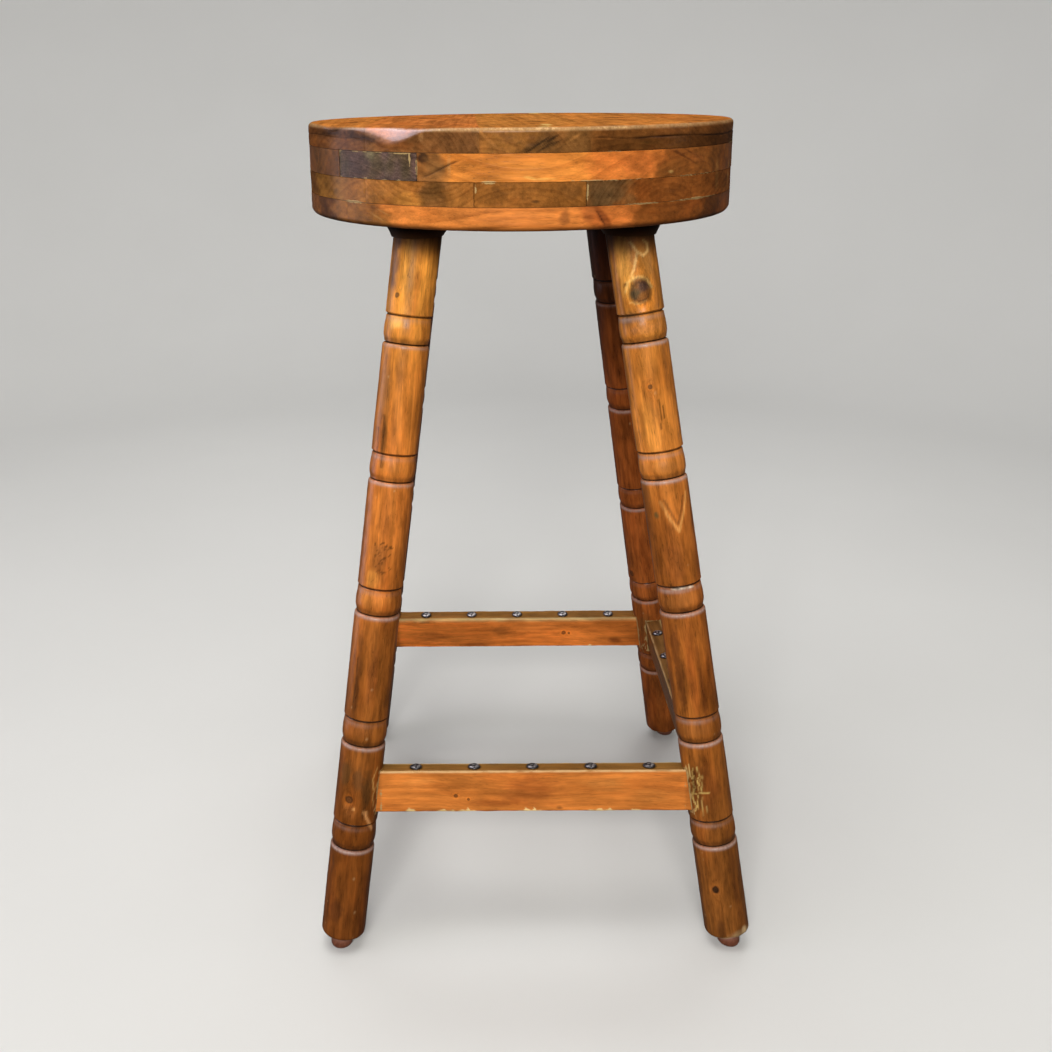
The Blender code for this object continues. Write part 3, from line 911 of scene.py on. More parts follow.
def board_grain(points, ply, index):
    """Each point's place in the board's tree, and its distance from the nearest knot."""
    top = SEAT_TOP - sum(PLY_HEIGHTS[:ply])
    along = 1 if PLY_GRAIN[ply] == "Y" else 0
    across = 1 - along
    joints = (-SEAT_RADIUS, *PLY_JOINTS[ply], SEAT_RADIUS)
    middle = (joints[index] + joints[index + 1]) / 2
    side, up, stray = HEARTS[ply][index]
    tree = np.empty_like(points)
    tree[:, 0] = points[:, across] - middle - side + stray * points[:, along]
    tree[:, 1] = points[:, 2] - (top - PLY_HEIGHTS[ply] / 2) - up
    tree[:, 2] = points[:, along] + ply * 0.9 + index * 1.7
    knots = [(rim_place(a, top - h), r) for layer, a, h, r in RIM_KNOTS if layer == ply]
    if ply == 0:
        knots += [((x, y, SEAT_TOP - 0.001), r) for (x, y), r in TOP_KNOTS]
    if ply == 3:
        knots += [((x, y, SEAT_UNDERSIDE), r) for (x, y), r in UNDER_KNOTS]
    run = (0, 1, 0) if along == 1 else (1, 0, 0)
    return warp_round_knots(points, tree, knots, run)


def board_tint(points, reach, degrees, down, ply, index, block):
    """The stain over one board, with painted shade on its rim: its rim, its open face and the marks on
    both.
    """
    wander = 3.2 * fuzz(points * (1, 1, 2), 70, ply) + 1.2 * fuzz(points, 260, ply)
    tint = rim_tone(degrees, ply, wander)
    tint = stain_marks(tint, points, degrees, down, (*RIM_MARKS[ply], *BACK_MARKS[ply]))
    if ply == 0:
        # It is darker below the split on the right, and above the one on the left
        below = ease(0.0088, 0.0100, down) * ease(13, 16, degrees) * ease(120, 100, degrees)
        above = ease(0.0098, 0.0088, down) * ease(-88, -80, degrees) * ease(-36, -40, degrees)
        tint *= ((1 - 0.42 * below) * (1 - 0.25 * above))[:, None]
        face = ease(SEAT_RADIUS - 0.0010, SEAT_RADIUS - 0.0042, reach)
        tint = blend(tint, TOP_TONES[index], face)
        for x, y, wide, deep in TOP_GLUE:
            far = np.hypot((points[:, 0] - x) / wide, (points[:, 1] - y) / deep)
            spot = ease(1.3, 0.7, far + 0.3 * fuzz(points, 300, 17)) * ease(0.003, 0.001, down)
            tint = blend(tint, (206, 176, 104), 0.75 * spot)
    if ply == 3:
        face = ease(SEAT_RADIUS - 0.0015, SEAT_RADIUS - 0.0050, reach)
        tint = blend(tint, UNDER_TONES[index], face)
    if block:
        cloud = ease(-0.5, 0.6, fuzz(points * (1, 1, 0.5), 130, 6))
        tint = blend(tone(92, 76, 54), (100, 78, 70), 1 - cloud)
        pale = bell(degrees, -40, 3.0) * ease(0.1, 0.7, fuzz(points * (1, 1, 0.4), 260, 8))
        tint = blend(tint, (140, 128, 92), 0.6 * pale)
    return tint * (1 + 0.10 * fuzz(points, 45, ply * 7 + index))[:, None]


def board_dirt_and_shade(points, reach, degrees, down, ply, index, cuts, block):
    """Dirt in the cracks and the joints, painted shade round the bottom edge, and dried glue."""
    rim = ease(SEAT_RADIUS - 0.006, SEAT_RADIUS - 0.003, reach)
    grime, glue = np.zeros(len(points)), np.zeros(len(points))
    for depth, width in crack_down(degrees, ply):
        uneven = 0.80 * (0.72 + 0.30 * fuzz(points, 90, 14)) * bell(down, depth, 0.0011)
        soft = 0.34 * bell(down, depth - 0.0008, 0.0030)
        grime = np.maximum(grime, width * rim * np.maximum(uneven, soft))
    for axis, place, _ in cuts:
        near = bell(points[:, axis], place, 0.00075) * (1.0 if place in OPEN_JOINTS else 0.3)
        grime = np.maximum(grime, 0.34 * near)
        patchy = 0.5 + 0.7 * fuzz(points, 95, index + ply)
        glue = np.maximum(glue, near * rim * 0.62 * patchy)
    seam = bell(down, 0, 0.0007) if ply > 0 else np.zeros(len(points))
    if ply < 3:
        seam = np.maximum(seam, bell(down, PLY_HEIGHTS[ply] - GAP, 0.0007))
    else:
        # Darker round the bottom edge of the lowest layer: painted shade
        low = ease(0.0115, 0.0170, down) * ease(SEAT_RADIUS - 0.02, SEAT_RADIUS, reach)
        grime = np.maximum(grime, 0.60 * low)
    grime = np.maximum(grime, 0.20 * seam * rim)
    glue = np.maximum(glue, seam * rim * (0.15 + 0.8 * fuzz(points, 42, 11)))
    for layer, place, deep, wide, tall, amount in RIM_GLUE:
        if layer == ply:
            line = bell(degrees, place, wide) * bell(down, deep, tall)
            glue = np.maximum(glue, amount * line * rim)
    if block:
        ends = np.min([np.abs(points[:, 0] - end) for end in PATCH_ENDS], axis=0)
        sides = np.minimum(np.abs(down), np.abs(down - PLY_HEIGHTS[1] + GAP))
        lines = np.maximum(0.85 * bell(ends, 0, 0.0014), 0.70 * bell(sides, 0, 0.0012))
        glue = np.maximum(glue, lines * (0.5 + 0.8 * fuzz(points, 230, 4)))
    return grime, glue


def dress_board(obj, ply, index, cuts, block=False):
    """Stores what the pine material reads at each of the board's points."""
    points = points_of(obj)
    down = SEAT_TOP - sum(PLY_HEIGHTS[:ply]) - points[:, 2]
    reach = np.linalg.norm(points[:, :2], axis=1)
    degrees = np.degrees(np.arctan2(points[:, 0], -points[:, 1]))
    tree, knot = board_grain(points, ply, index)
    tint = board_tint(points, reach, degrees, down, ply, index, block)
    grime, glue = board_dirt_and_shade(points, reach, degrees, down, ply, index, cuts, block)
    # The sitting face is rubbed nearly matt, and the hollow in the edge is polished
    wear, varnish = np.zeros(len(points)), np.full(len(points), 0.22)
    if ply == 0:
        worn = edge_hollow(degrees)
        edge = bell(reach, SEAT_RADIUS - 0.0014, 0.0024) * ease(0.0046, 0.0014, down)
        front = 0.52 + 0.34 * bell(degrees, -2, 26) + 0.18 * fuzz(points, 60, 3)
        wear = edge * front * (1 - 0.75 * worn)
        deep = down / np.maximum(worn, 0.3)
        polished = worn * ease(0.0004, 0.0015, down) * ease(HOLLOW_DEPTH + 0.001, 0.0100, deep)
        varnish = 0.06 + 0.16 * ease(0.0006, 0.0020, down) + 0.8 * polished
    store(obj, grain=tree, tint=tint, knot=knot, wear=wear, grime=grime, varnish=varnish)
    store(obj, glue=np.clip(glue, 0, 1))


BACK_MARKS = back_marks()


def build_seat():
    top = SEAT_TOP
    for ply, height in enumerate(PLY_HEIGHTS):
        thick = height - (GAP if ply < len(PLY_HEIGHTS) - 1 else 0)
        layer = disc(ply, top, top - thick)
        across = 0 if PLY_GRAIN[ply] == "Y" else 1
        slot = "pine_end_grain" if across == 0 else "pine_long_grain"
        joints = (None, *PLY_JOINTS[ply], None)
        for i, (low, high) in enumerate(zip(joints, joints[1:])):
            cuts = []
            if low is not None:
                cuts.append((across, low, True))
            if high is not None:
                cuts.append((across, high, False))
            pieces = [("", [], slot)]
            if ply == 1 and i == 0:
                left, right = PATCH_ENDS
                pieces = [
                    ("_left", [(0, left, False)], slot),
                    ("_block", [(0, left, True), (0, right, False)], "grey_block"),
                    ("_right", [(0, right, True)], slot),
                ]
            for suffix, more, look in pieces:
                node = f"seat_layer{ply + 1}_board{i + 1}{suffix}"
                board = slice_board(layer, f"fine_{node}", cuts + more)
                if ply >= 2:
                    for corner in CORNERS:
                        drill_for_tenon(board, corner)
                soften_cuts(board, cuts + more)
                dress_board(board, ply, i, cuts + more, block=look == "grey_block")
                board.location = (SEAT_OFFSET, 0, 0)
                finish_piece(board, node, look)
        bpy.data.objects.remove(layer)
        top -= height


# ------------------------------------------------------- legs, collars and glides


def leg_ends(corner):
    x, y = CORNERS[corner]
    foot = Vector((x * LEG_FOOT_SPREAD, y * LEG_FOOT_SPREAD, LEG_FOOT_HEIGHT))
    head = Vector((x * LEG_TOP_SPREAD + SEAT_OFFSET, y * LEG_TOP_SPREAD, SEAT_UNDERSIDE))
    return foot, head


def leg_matrix(corner):
    """Origin at the foot's centre, +Z along the leg's axis, -Y to the front."""
    foot, head = leg_ends(corner)
    along = (head - foot).normalized()
    side = Vector((0, 1, 0)).cross(along).normalized()
    turn = Matrix((side, along.cross(side), along)).transposed()
    return Matrix.Translation(foot) @ turn.to_4x4()


def leg_length(corner):
    foot, head = leg_ends(corner)
    return (head - foot).length


def axis_point(corner, height):
    foot, head = leg_ends(corner)
    return foot.lerp(head, (height - foot.z) / (head.z - foot.z))


def turned(name, rings, matrix, segments, tube=False):
    """A body of revolution through ("at", radius, distance along the axis) or ("level",
    radius, world height) rings."""
    angles = np.arange(segments) * 2 * math.pi / segments
    row = matrix[2]
    points = []
    for kind, radius, value in rings:
        x, y = radius * np.cos(angles), radius * np.sin(angles)
        z = np.full(segments, value)
        if kind == "level":
            z = (value - row[3] - row[0] * x - row[1] * y) / row[2]
        points.append(np.stack([x, y, z], 1))
    faces = skin(segments, len(rings), tube)
    return outward(new_object(name, np.concatenate(points), faces, matrix))


def drill_for_tenon(board, corner):
    """Cuts one leg's tenon hole, where it meets this board."""
    matrix = leg_matrix(corner)
    centre = leg_ends(corner)[1] - Vector((SEAT_OFFSET, 0, 0))
    box = points_of(board)
    low, high = box.min(0), box.max(0)
    if not (low[0] < centre.x < high[0] and low[1] < centre.y < high[1]):
        return
    length = leg_length(corner)
    hole = TENON_RADIUS + GAP
    rings = [("at", hole, length - 0.015), ("at", hole, length + TENON_LENGTH + GAP)]
    matrix = Matrix.Translation((-SEAT_OFFSET, 0, 0)) @ matrix
    carve(board, turned("drill", rings, matrix, 40))


def groove_depth(t, length):
    """How far the turned grooves cut in at each distance along the leg."""
    depth = np.zeros_like(t)
    for from_top in GROOVES_FROM_TOP:
        high = length - from_top
        low = high - BEAD_LENGTH
        u = np.clip((t - (low - 0.0034)) / 0.0034, 0, 1)
        shoulder = LOWER_GROOVE_DEPTH * (1 - np.sqrt(1 - u**2.6))
        shoulder[t > low] = 0
        rise = (t >= low) & (t < low + 0.0080)
        wall = np.where(
            t < low + 0.0009,
            LOWER_GROOVE_DEPTH - (LOWER_GROOVE_DEPTH - 0.0013) * (t - low) / 0.0009,
            0.0013 * (1 - ease(low + 0.0009, low + 0.0080, t)) ** 1.3,
        )
        wall[~rise] = 0
        neck = (t > high - 0.011) & (t < high)
        wall = np.where(neck, 0.0007 * ease(high - 0.011, high - 0.0015, t), wall)
        v = np.abs(t - high) / np.where(t < high, 0.0019, 0.0015)
        notch = UPPER_GROOVE_DEPTH * np.clip(1 - v, 0, 1) ** 0.8
        depth = np.maximum(depth, np.maximum(shoulder, np.maximum(wall, notch)))
    return depth


# Where a leg's rings stand about each bead's lower and upper groove, in tenths of a
# millimetre
STATIONS_BY_SHOULDER = (-45, -34, -26, -19, -13, -9, -5, -2, 0, 3, 6, 9, 14, 22, 32, 45, 60, 80)
STATIONS_BY_NOTCH = (-30, -19, -14, -9, -5, -2, 0, 3, 6, 10, 15, 28)


def leg_stations(length):
    """Distances along the leg for its rings, close together near the grooves."""
    marks = list(np.arange(0.008, length - 0.004, 0.0014))
    for from_top in GROOVES_FROM_TOP:
        high = length - from_top
        low = high - BEAD_LENGTH
        marks = [m for m in marks if not (low - 0.005 < m < low + 0.010 or abs(m - high) < 0.004)]
        marks += [low + d / 10000 for d in STATIONS_BY_SHOULDER]
        marks += [high + d / 10000 for d in STATIONS_BY_NOTCH]
    return np.array(sorted(marks))


# Each leg's colour from foot to seat as (share of the length, colour): its stain, with
# painted shade darkening it towards the foot and a painted shadow of the seat at the top.
# Then heart (x, y, lean), knots as (degrees, metres from the foot, radius), a seed, and how
# strong the dust with painted sheen is on the shoulder under each bead and on each bead's
# crown, from the top down
LEG_LOOKS = {
    "front_left": {
        "tones": (
            (0.0, (117, 65, 24)), (0.16, (129, 71, 24)), (0.27, (141, 82, 31)),
            (0.42, (162, 94, 36)), (0.6, (204, 119, 48)), (0.8, (206, 126, 50)),
            (0.94, (246, 163, 65)), (1.0, (134, 84, 38)),
        ),
        "heart": (0.01, 0.016, 0.02),
        "knots": (
            (-124, 0.5696, 0.0019), (-110, 0.1344, 0.003), (40, 0.33, 0.006), (130, 0.47, 0.005),
        ),
        "seed": 1,
        "rings": (0.55, 0.8, 0.95, 1.0, 1.0),
        "crowns": (0.45, 0.6, 0.3, 0.35, 0.3),
    },
    "front_right": {
        "tones": (
            (0.0, (141, 85, 35)), (0.16, (146, 86, 34)), (0.27, (150, 88, 33)),
            (0.42, (168, 97, 37)), (0.6, (171, 98, 38)), (0.72, (230, 143, 59)),
            (0.94, (189, 121, 47)), (1.0, (141, 87, 39)),
        ),
        "heart": (-0.006, 0.013, -0.016),
        "knots": (
            (-89, 0.5748, 0.0088), (-112, 0.0497, 0.0026), (-99, 0.4971, 0.0018),
            (60, 0.25, 0.0055),
        ),
        "seed": 2,
        "rings": (1.0, 1.0, 1.0, 1.0, 0.9),
        "crowns": (0.9, 0.85, 1.0, 0.6, 0.6),
    },
    "back_left": {
        "tones": ((0.0, (108, 56, 21)), (0.5, (125, 65, 25)), (1.0, (90, 45, 17))),
        "heart": (0.014, -0.006, 0.018),
        "knots": ((-80, 0.3, 0.0045), (110, 0.42, 0.006)),
        "seed": 3,
        "rings": (0.5, 0.8, 0.8, 0.9, 0.9),
        "crowns": (0.3, 0.3, 0.3, 0.3, 0.3),
    },
    "back_right": {
        "tones": (
            (0.0, (142, 76, 28)), (0.35, (180, 98, 42)), (0.7, (150, 77, 30)), (0.86, (94, 47, 16)),
            (1.0, (56, 26, 10)),
        ),
        "heart": (-0.012, 0.012, 0.014),
        "knots": ((-150, 0.22, 0.003), (70, 0.39, 0.0058)),
        "seed": 4,
        "rings": (0.3, 1.0, 0.95, 0.95, 0.95),
        "crowns": (0.1, 0.1, 0.2, 0.2, 0.2),
    },
}


# Marks on each leg: degrees round it (-90 is the front), metres from the foot, half width
# in degrees, half height, slope, colour, share
LEG_MARKS = {
    "front_right": (
        (-122, 0.596, 20, 0.03, 0, (232, 168, 82), 0.65),
        (-62, 0.598, 16, 0.022, 0, (150, 106, 56), 0.55),
        (-80, 0.5775, 17, 0.0052, 0, (122, 88, 76), 0.95),
        (-104, 0.5722, 15, 0.0052, 0, (132, 112, 70), 0.95),
        (-123, 0.5812, 5, 0.0024, 0, (70, 40, 24), 0.85),
        (-128, 0.553, 24, 0.006, 0, (122, 92, 62), 0.6),
        (-52, 0.563, 14, 0.01, 0, (216, 136, 60), 0.5),
        (-112, 0.462, 24, 0.028, 0, (226, 150, 66), 0.5),
        (-129, 0.3899, 8, 0.003, 0, (112, 88, 48), 0.9),
        (-104, 0.35, 26, 0.02, 0, (176, 100, 44), 0.5),
        (-128, 0.262, 15, 0.04, 0, (88, 48, 22), 0.7),
        (-96, 0.245, 14, 0.034, 0, (182, 100, 40), 0.55),
        (-74, 0.235, 8, 0.04, 0, (112, 60, 26), 0.6), (-60, 0.065, 10, 0.04, 0, (86, 48, 22), 0.5),
        (-60, 0.004, 30, 0.0046, 0, (222, 190, 138), 0.55),
        (-48, 0.007, 9, 0.004, 0, (226, 196, 146), 0.6),
        (-82, 0.0008, 52, 0.0016, 0, (240, 216, 170), 0.9),
        (-97, 0.144, 40, 0.02, 0, (122, 66, 30), 0.45),
        (-132, 0.14, 24, 0.026, 0, (92, 58, 26), 0.55),
        (-112, 0.012, 14, 0.008, 0, (88, 50, 24), 0.5),
        (-114, 0.0497, 12, 0.0046, 0, (176, 110, 58), 0.7),
        (-112, 0.0497, 9, 0.0036, 0, (40, 20, 8), 0.92),
        (-101, 0.3252, 20, 0.0013, 0, (236, 220, 196), 0.85),
        (-66, 0.3246, 9, 0.0011, 0, (236, 220, 196), 0.75),
        # The pale grey patch and the lighter bands on the front of beads one to four: painted sheen
        # where each bead faces the light
        (-118, 0.5438, 12, 0.003, 0, (168, 140, 112), 0.5),
        (-100, 0.546, 50, 0.006, 0, (216, 140, 72), 0.6),
        (-100, 0.43, 50, 0.006, 0, (196, 126, 62), 0.5),
        (-96, 0.314, 50, 0.007, 0, (186, 114, 54), 0.6),
        (-98, 0.198, 50, 0.007, 0, (150, 92, 44), 0.5),
    ),
    "front_left": (
        (-146, 0.595, 18, 0.022, 0, (104, 72, 60), 0.75),
        (-104, 0.59, 16, 0.034, 0, (236, 168, 78), 0.6),
        (-76, 0.575, 9, 0.026, 0, (168, 92, 40), 0.5),
        (-136, 0.485, 20, 0.03, 0, (158, 104, 54), 0.6),
        (-118, 0.447, 8, 0.03, 0, (128, 88, 44), 0.6),
        (-86, 0.455, 18, 0.026, 0, (206, 124, 54), 0.5),
        (-100, 0.352, 26, 0.012, 0, (148, 90, 42), 0.55),
        (-110, 0.332, 18, 0.008, 0, (224, 148, 66), 0.6),
        (-122, 0.25, 9, 0.05, 0, (92, 56, 26), 0.6), (-84, 0.245, 16, 0.024, 0, (168, 94, 42), 0.5),
        (-128, 0.158, 15, 0.012, 0, (88, 66, 36), 0.6),
        (-107, 0.124, 18, 0.008, 0, (196, 118, 56), 0.6),
        (-96, 0.1262, 5, 0.0022, 0, (222, 158, 92), 0.8),
        (-116, 0.03, 20, 0.012, 0, (72, 38, 18), 0.6),
        (-66, 0.142, 15, 0.02, 0, (84, 58, 28), 0.65),
        (-92, 0.153, 16, 0.01, 0, (82, 58, 34), 0.55),
        (-62, 0.1225, 5, 0.003, 0, (226, 160, 98), 0.8),
        # The bright patch and the lighter bands on the front of beads one to four: painted sheen where
        # each bead faces the light
        (-118, 0.5475, 26, 0.006, 0, (250, 190, 104), 0.75),
        (-110, 0.43, 50, 0.006, 0, (206, 130, 60), 0.5),
        (-106, 0.316, 50, 0.007, 0, (206, 130, 58), 0.5),
        (-106, 0.198, 50, 0.007, 0, (160, 94, 42), 0.5),
    ),
    "back_right": (
        (-132, 0.455, 16, 0.02, 0, (156, 84, 38), 0.6),
        (-120, 0.15, 30, 0.016, 0, (142, 96, 48), 0.5),
        (-100, 0.07, 22, 0.03, 0, (150, 84, 36), 0.5),
    ),
}
# Wavy lines of pale or dark grain on each leg: points as (degrees, metres from the foot),
# half width, colour, share
LEG_LINES = {
    "front_right": (
        (
            (
                (-98, 0.614), (-86, 0.606), (-72, 0.6022), (-58, 0.6052), (-55, 0.6112),
                (-66, 0.6142),
            ),
            0.0008, (236, 190, 116), 0.8,
        ),
        (
            ((-86, 0.606), (-92, 0.5985), (-99, 0.5925), (-107, 0.588), (-101, 0.5845)), 0.0008,
            (236, 190, 116), 0.8,
        ),
        (
            (
                (-126, 0.576), (-118, 0.5828), (-104, 0.5858), (-88, 0.5862), (-72, 0.583),
                (-61, 0.5765),
            ),
            0.001, (240, 188, 108), 0.9,
        ),
        (((-120, 0.5672), (-100, 0.5652), (-78, 0.5668)), 0.0007, (230, 176, 100), 0.7),
        (
            ((-114, 0.401), (-94, 0.384), (-78, 0.3745), (-60, 0.388), (-42, 0.405)), 0.001,
            (226, 160, 86), 0.65,
        ),
        (
            ((-104, 0.402), (-88, 0.388), (-78, 0.38), (-66, 0.39), (-54, 0.403)), 0.0007,
            (104, 66, 32), 0.7,
        ),
        (((-84, 0.486), (-82, 0.474), (-86, 0.462)), 0.0005, (84, 52, 24), 0.8),
        (((-76, 0.48), (-74, 0.47)), 0.0005, (84, 52, 24), 0.8),
        (((-118, 0.33), (-112, 0.3262), (-100, 0.325)), 0.0007, (66, 40, 20), 0.8),
        (((-140, 0.1668), (-139, 0.1557), (-131, 0.1526)), 0.00043, (232, 204, 130), 0.75),
        (
            ((-116, 0.1645), (-113, 0.1572), (-121, 0.1514), (-113, 0.146), (-110, 0.1405)),
            0.00043, (226, 196, 116), 0.75,
        ),
        (((-132, 0.1392), (-118, 0.1408), (-94, 0.1412)), 0.00037, (222, 190, 110), 0.72),
        (((-103, 0.159), (-108, 0.151), (-111, 0.1442)), 0.00031, (206, 168, 96), 0.8),
        (((-130, 0.1565), (-134, 0.144), (-144, 0.1328)), 0.00037, (214, 184, 106), 0.72),
        (((-147, 0.1475), (-149, 0.137), (-152, 0.1262)), 0.00062, (238, 214, 140), 0.72),
        (((-124, 0.1382), (-128, 0.131), (-129, 0.1248)), 0.00037, (222, 190, 110), 0.72),
        (((-114, 0.1367), (-117, 0.128), (-118, 0.1198)), 0.00043, (216, 176, 104), 0.72),
        (((-104, 0.1293), (-107, 0.1219)), 0.00037, (210, 170, 100), 0.8),
        (((-144, 0.14), (-131, 0.1265)), 0.00031, (214, 184, 106), 0.8),
        (((-122, 0.16), (-134, 0.15), (-128, 0.144)), 0.00031, (84, 50, 22), 0.8),
        (((-150, 0.164), (-146, 0.156), (-152, 0.15)), 0.0006, (232, 206, 132), 0.8),
        (((-126, 0.164), (-132, 0.159), (-124, 0.154)), 0.0004, (214, 180, 104), 0.7),
        (((-138, 0.15), (-128, 0.146), (-136, 0.14)), 0.0004, (220, 190, 112), 0.7),
        (((-109, 0.156), (-118, 0.148), (-122, 0.142)), 0.0004, (214, 176, 100), 0.6),
        (((-140, 0.133), (-132, 0.128), (-138, 0.123)), 0.0005, (226, 196, 120), 0.7),
    ),
    "front_left": (
        (((-126, 0.472), (-119, 0.456), (-122, 0.44), (-118, 0.428)), 0.0006, (82, 54, 26), 0.7),
        (((-140, 0.46), (-136, 0.446), (-138, 0.434)), 0.0006, (82, 54, 26), 0.7),
        (((-128, 0.262), (-124, 0.24), (-128, 0.222)), 0.0006, (74, 46, 22), 0.7),
        (((-68, 0.124), (-58, 0.118), (-46, 0.111), (-34, 0.106)), 0.0011, (216, 152, 92), 0.85),
        (((-40, 0.164), (-52, 0.154), (-46, 0.144)), 0.0006, (196, 150, 84), 0.7),
        (((-34, 0.15), (-46, 0.138), (-40, 0.128)), 0.0006, (196, 150, 84), 0.7),
    ),
}


def dark_specks():
    """A cluster of short slanting dark strokes in the grain of the front left leg."""
    luck = np.random.RandomState(12)
    strokes = []
    for _ in range(30):
        at, place = luck.uniform(-114, -70), luck.uniform(0.338, 0.364)
        size = luck.uniform(0.0008, 0.0022)
        path = ((at, place), (at + luck.uniform(2, 7), place + size))
        strokes.append((path, 0.00035, (92, 54, 22), 0.75))
    return tuple(strokes)


def near_path(points, path):
    """Each point's distance, over the leg's unrolled surface, from a line through points."""
    degrees = polar(points)[1]
    nearest = np.full(len(points), 1.0)
    for (a0, t0), (a1, t1) in zip(path, path[1:]):
        turn = np.radians(turn_from(degrees, a0)) * LEG_RADIUS
        place = np.stack([turn, points[:, 2] - t0], 1)
        step = np.array([math.radians(a1 - a0) * LEG_RADIUS, t1 - t0])
        share = np.clip(place @ step / (step @ step), 0, 1)
        nearest = np.minimum(nearest, np.linalg.norm(place - share[:, None] * step, axis=1))
    return nearest


def tones_along(share, rows):
    places = [place for place, _ in rows]
    colours = np.array([tone(*colour) for _, colour in rows])
    return np.stack([np.interp(share, places, colours[:, i]) for i in range(3)], 1)


def leg_rings(length):
    """The turned outline of a leg, from the socket in its foot to its tenon."""
    hole = GLIDE_STEM_RADIUS + GAP
    rings = [("at", hole, GLIDE_STEM_LENGTH + 2 * GAP), ("at", hole, 0.0)]
    rings += [("at", 0.006, 0.0), ("at", 0.010, 0.0)]
    rings += [("at", LEG_RADIUS - FOOT_ROUND * (1 - s), FOOT_ROUND * c) for s, c in quarter(8)]
    marks = leg_stations(length)
    rings += [("at", LEG_RADIUS - d, t) for t, d in zip(marks, groove_depth(marks, length))]
    return rings + [
        ("level", LEG_RADIUS, SEAT_UNDERSIDE - GAP),
        ("level", TENON_RADIUS, SEAT_UNDERSIDE - GAP),
        ("at", TENON_RADIUS, length + TENON_LENGTH - 0.0015),
        ("at", TENON_RADIUS - 0.0015, length + TENON_LENGTH),
    ]


def on_leg(degrees, place):
    """A point on a leg's surface, in the leg's own space."""
    angle = math.radians(degrees)
    return np.array((math.cos(angle) * LEG_RADIUS, math.sin(angle) * LEG_RADIUS, place))


def wear_leg(leg, seed, length, chip_at):
    """Hand turning, use and knocks, all of which take wood away."""
    points = points_of(leg)
    reach, degrees = polar(points)
    t = points[:, 2]
    lost = 0.00016 * (1 + fuzz(points, 38, seed)) + 0.00007 * (1 + fuzz(points, 170, seed + 9))
    luck = np.random.RandomState(seed * 101)
    for _ in range(26):
        angle, place = luck.uniform(-180, 180), luck.uniform(0.01, length - 0.03)
        size, depth = luck.uniform(0.0018, 0.0050), luck.uniform(0.0002, 0.0006)
        apart = np.linalg.norm((points - on_leg(angle, place)) * (1, 1, 0.6), axis=1)
        lost += depth * np.clip(1 - (apart / size) ** 2, 0, 1) ** 2
    # The foot's rim is chipped
    chip = bell(turn_from(degrees, chip_at), 0, 42) * ease(0.0065, 0.0015, t)
    chip *= ease(0.0125, 0.0165, reach) * (0.6 + 0.5 * fuzz(points, 260, seed))
    lost += 0.0011 * np.maximum(chip, 0)
    shrink(points, reach, ease(0.0135, 0.0160, reach) * lost)
    points[:, 2] += 0.0009 * np.maximum(chip, 0) * ease(0.003, 0.0, t)
    move_points(leg, points)


def leg_grain(points, look):
    """Each point's place in the leg's tree, and its distance from the nearest knot."""
    x, y, lean = look["heart"]
    seed, t = look["seed"], points[:, 2]
    tree = [
        points[:, 0] - x + lean * (t - 0.3) + 0.002 * np.sin(t * 11 + seed),
        points[:, 1] - y + lean * 0.6 * (t - 0.3),
        t + seed * 2.3,
    ]
    knots = [(on_leg(angle, place), radius) for angle, place, radius in look["knots"]]
    return warp_round_knots(points, np.stack(tree, 1), knots, (0, 0, 1))


def leg_tint(points, degrees, corner, length):
    """The stain over one leg, with its marks and grain lines, painted shade towards the foot, the
    seat's painted shadow at the top, and painted sheen on the beads' fronts.
    """
    look = LEG_LOOKS[corner]
    seed, t = look["seed"], points[:, 2]
    tint = tones_along(t / length, look["tones"])
    tint *= (1 + 0.15 * fuzz(points * (1, 1, 0.35), 60, seed + 20))[:, None]
    tint *= (1 + 0.10 * fuzz(points * (1, 1, 0.4), 190, seed + 21))[:, None]
    tint = stain_marks(tint, points, degrees, t, LEG_MARKS.get(corner, ()))
    lines = LEG_LINES.get(corner, ())
    if corner == "front_left":
        lines += dark_specks()
    for path, half, colour, share in lines:
        away = near_path(points, path) * (1 + 0.35 * fuzz(points, 500, 7))
        tint = blend(tint, colour, share * ease(half * 1.9, half * 0.5, away))
    return tint


def leg_dirt_shade_and_sheen(points, reach, degrees, look, length):
    """Dirt with painted shade in the grooves and in the stretchers' holes, the seat's painted
    shadow at the top, and dust with a painted sheen on rubbed edges: on the shoulder under
    each bead, and on each bead's crown, more to the front's left, where the light comes from."""
    t = points[:, 2]
    # Darker in the grooves: dirt and painted shade
    grime = 0.95 * ease(0.0004, 0.0020, groove_depth(t, length))
    dust_sheen = np.zeros(len(t))
    # Stronger towards the front left, where the light comes from: painted sheen
    left = 0.35 + 0.65 * ease(90, 20, np.abs(turn_from(degrees, -140)))
    for from_top, ring, crown in zip(GROOVES_FROM_TOP, look["rings"], look["crowns"]):
        high = length - from_top
        low = high - BEAD_LENGTH
        dust_sheen = np.maximum(dust_sheen, ring * bell(t, low - 0.0021, 0.0014))
        dust_sheen = np.maximum(dust_sheen, crown * left * bell(t, high - 0.0034, 0.0017))
        grime *= 1 - 0.92 * bell(t, low - 0.0021, 0.0015)
        # Darker just above each lower groove, under the bead's step: painted shade
        grime = np.maximum(grime, 0.45 * bell(t, low + 0.0025, 0.0030))
    dust_sheen *= 0.85 + 0.25 * fuzz(points, 75, look["seed"] + 3)
    # Darker inside the stretchers' holes: painted shade
    inside = ease(LEG_RADIUS - 0.0040, LEG_RADIUS - 0.0055, reach) * (t > 0.02)
    grime = np.maximum(grime, 0.9 * inside * (t < length - 0.004))
    # Darkest towards the top, under the seat: painted shadow of the seat
    return np.maximum(grime, 0.80 * ease(length - 0.044, length - 0.014, t)), dust_sheen


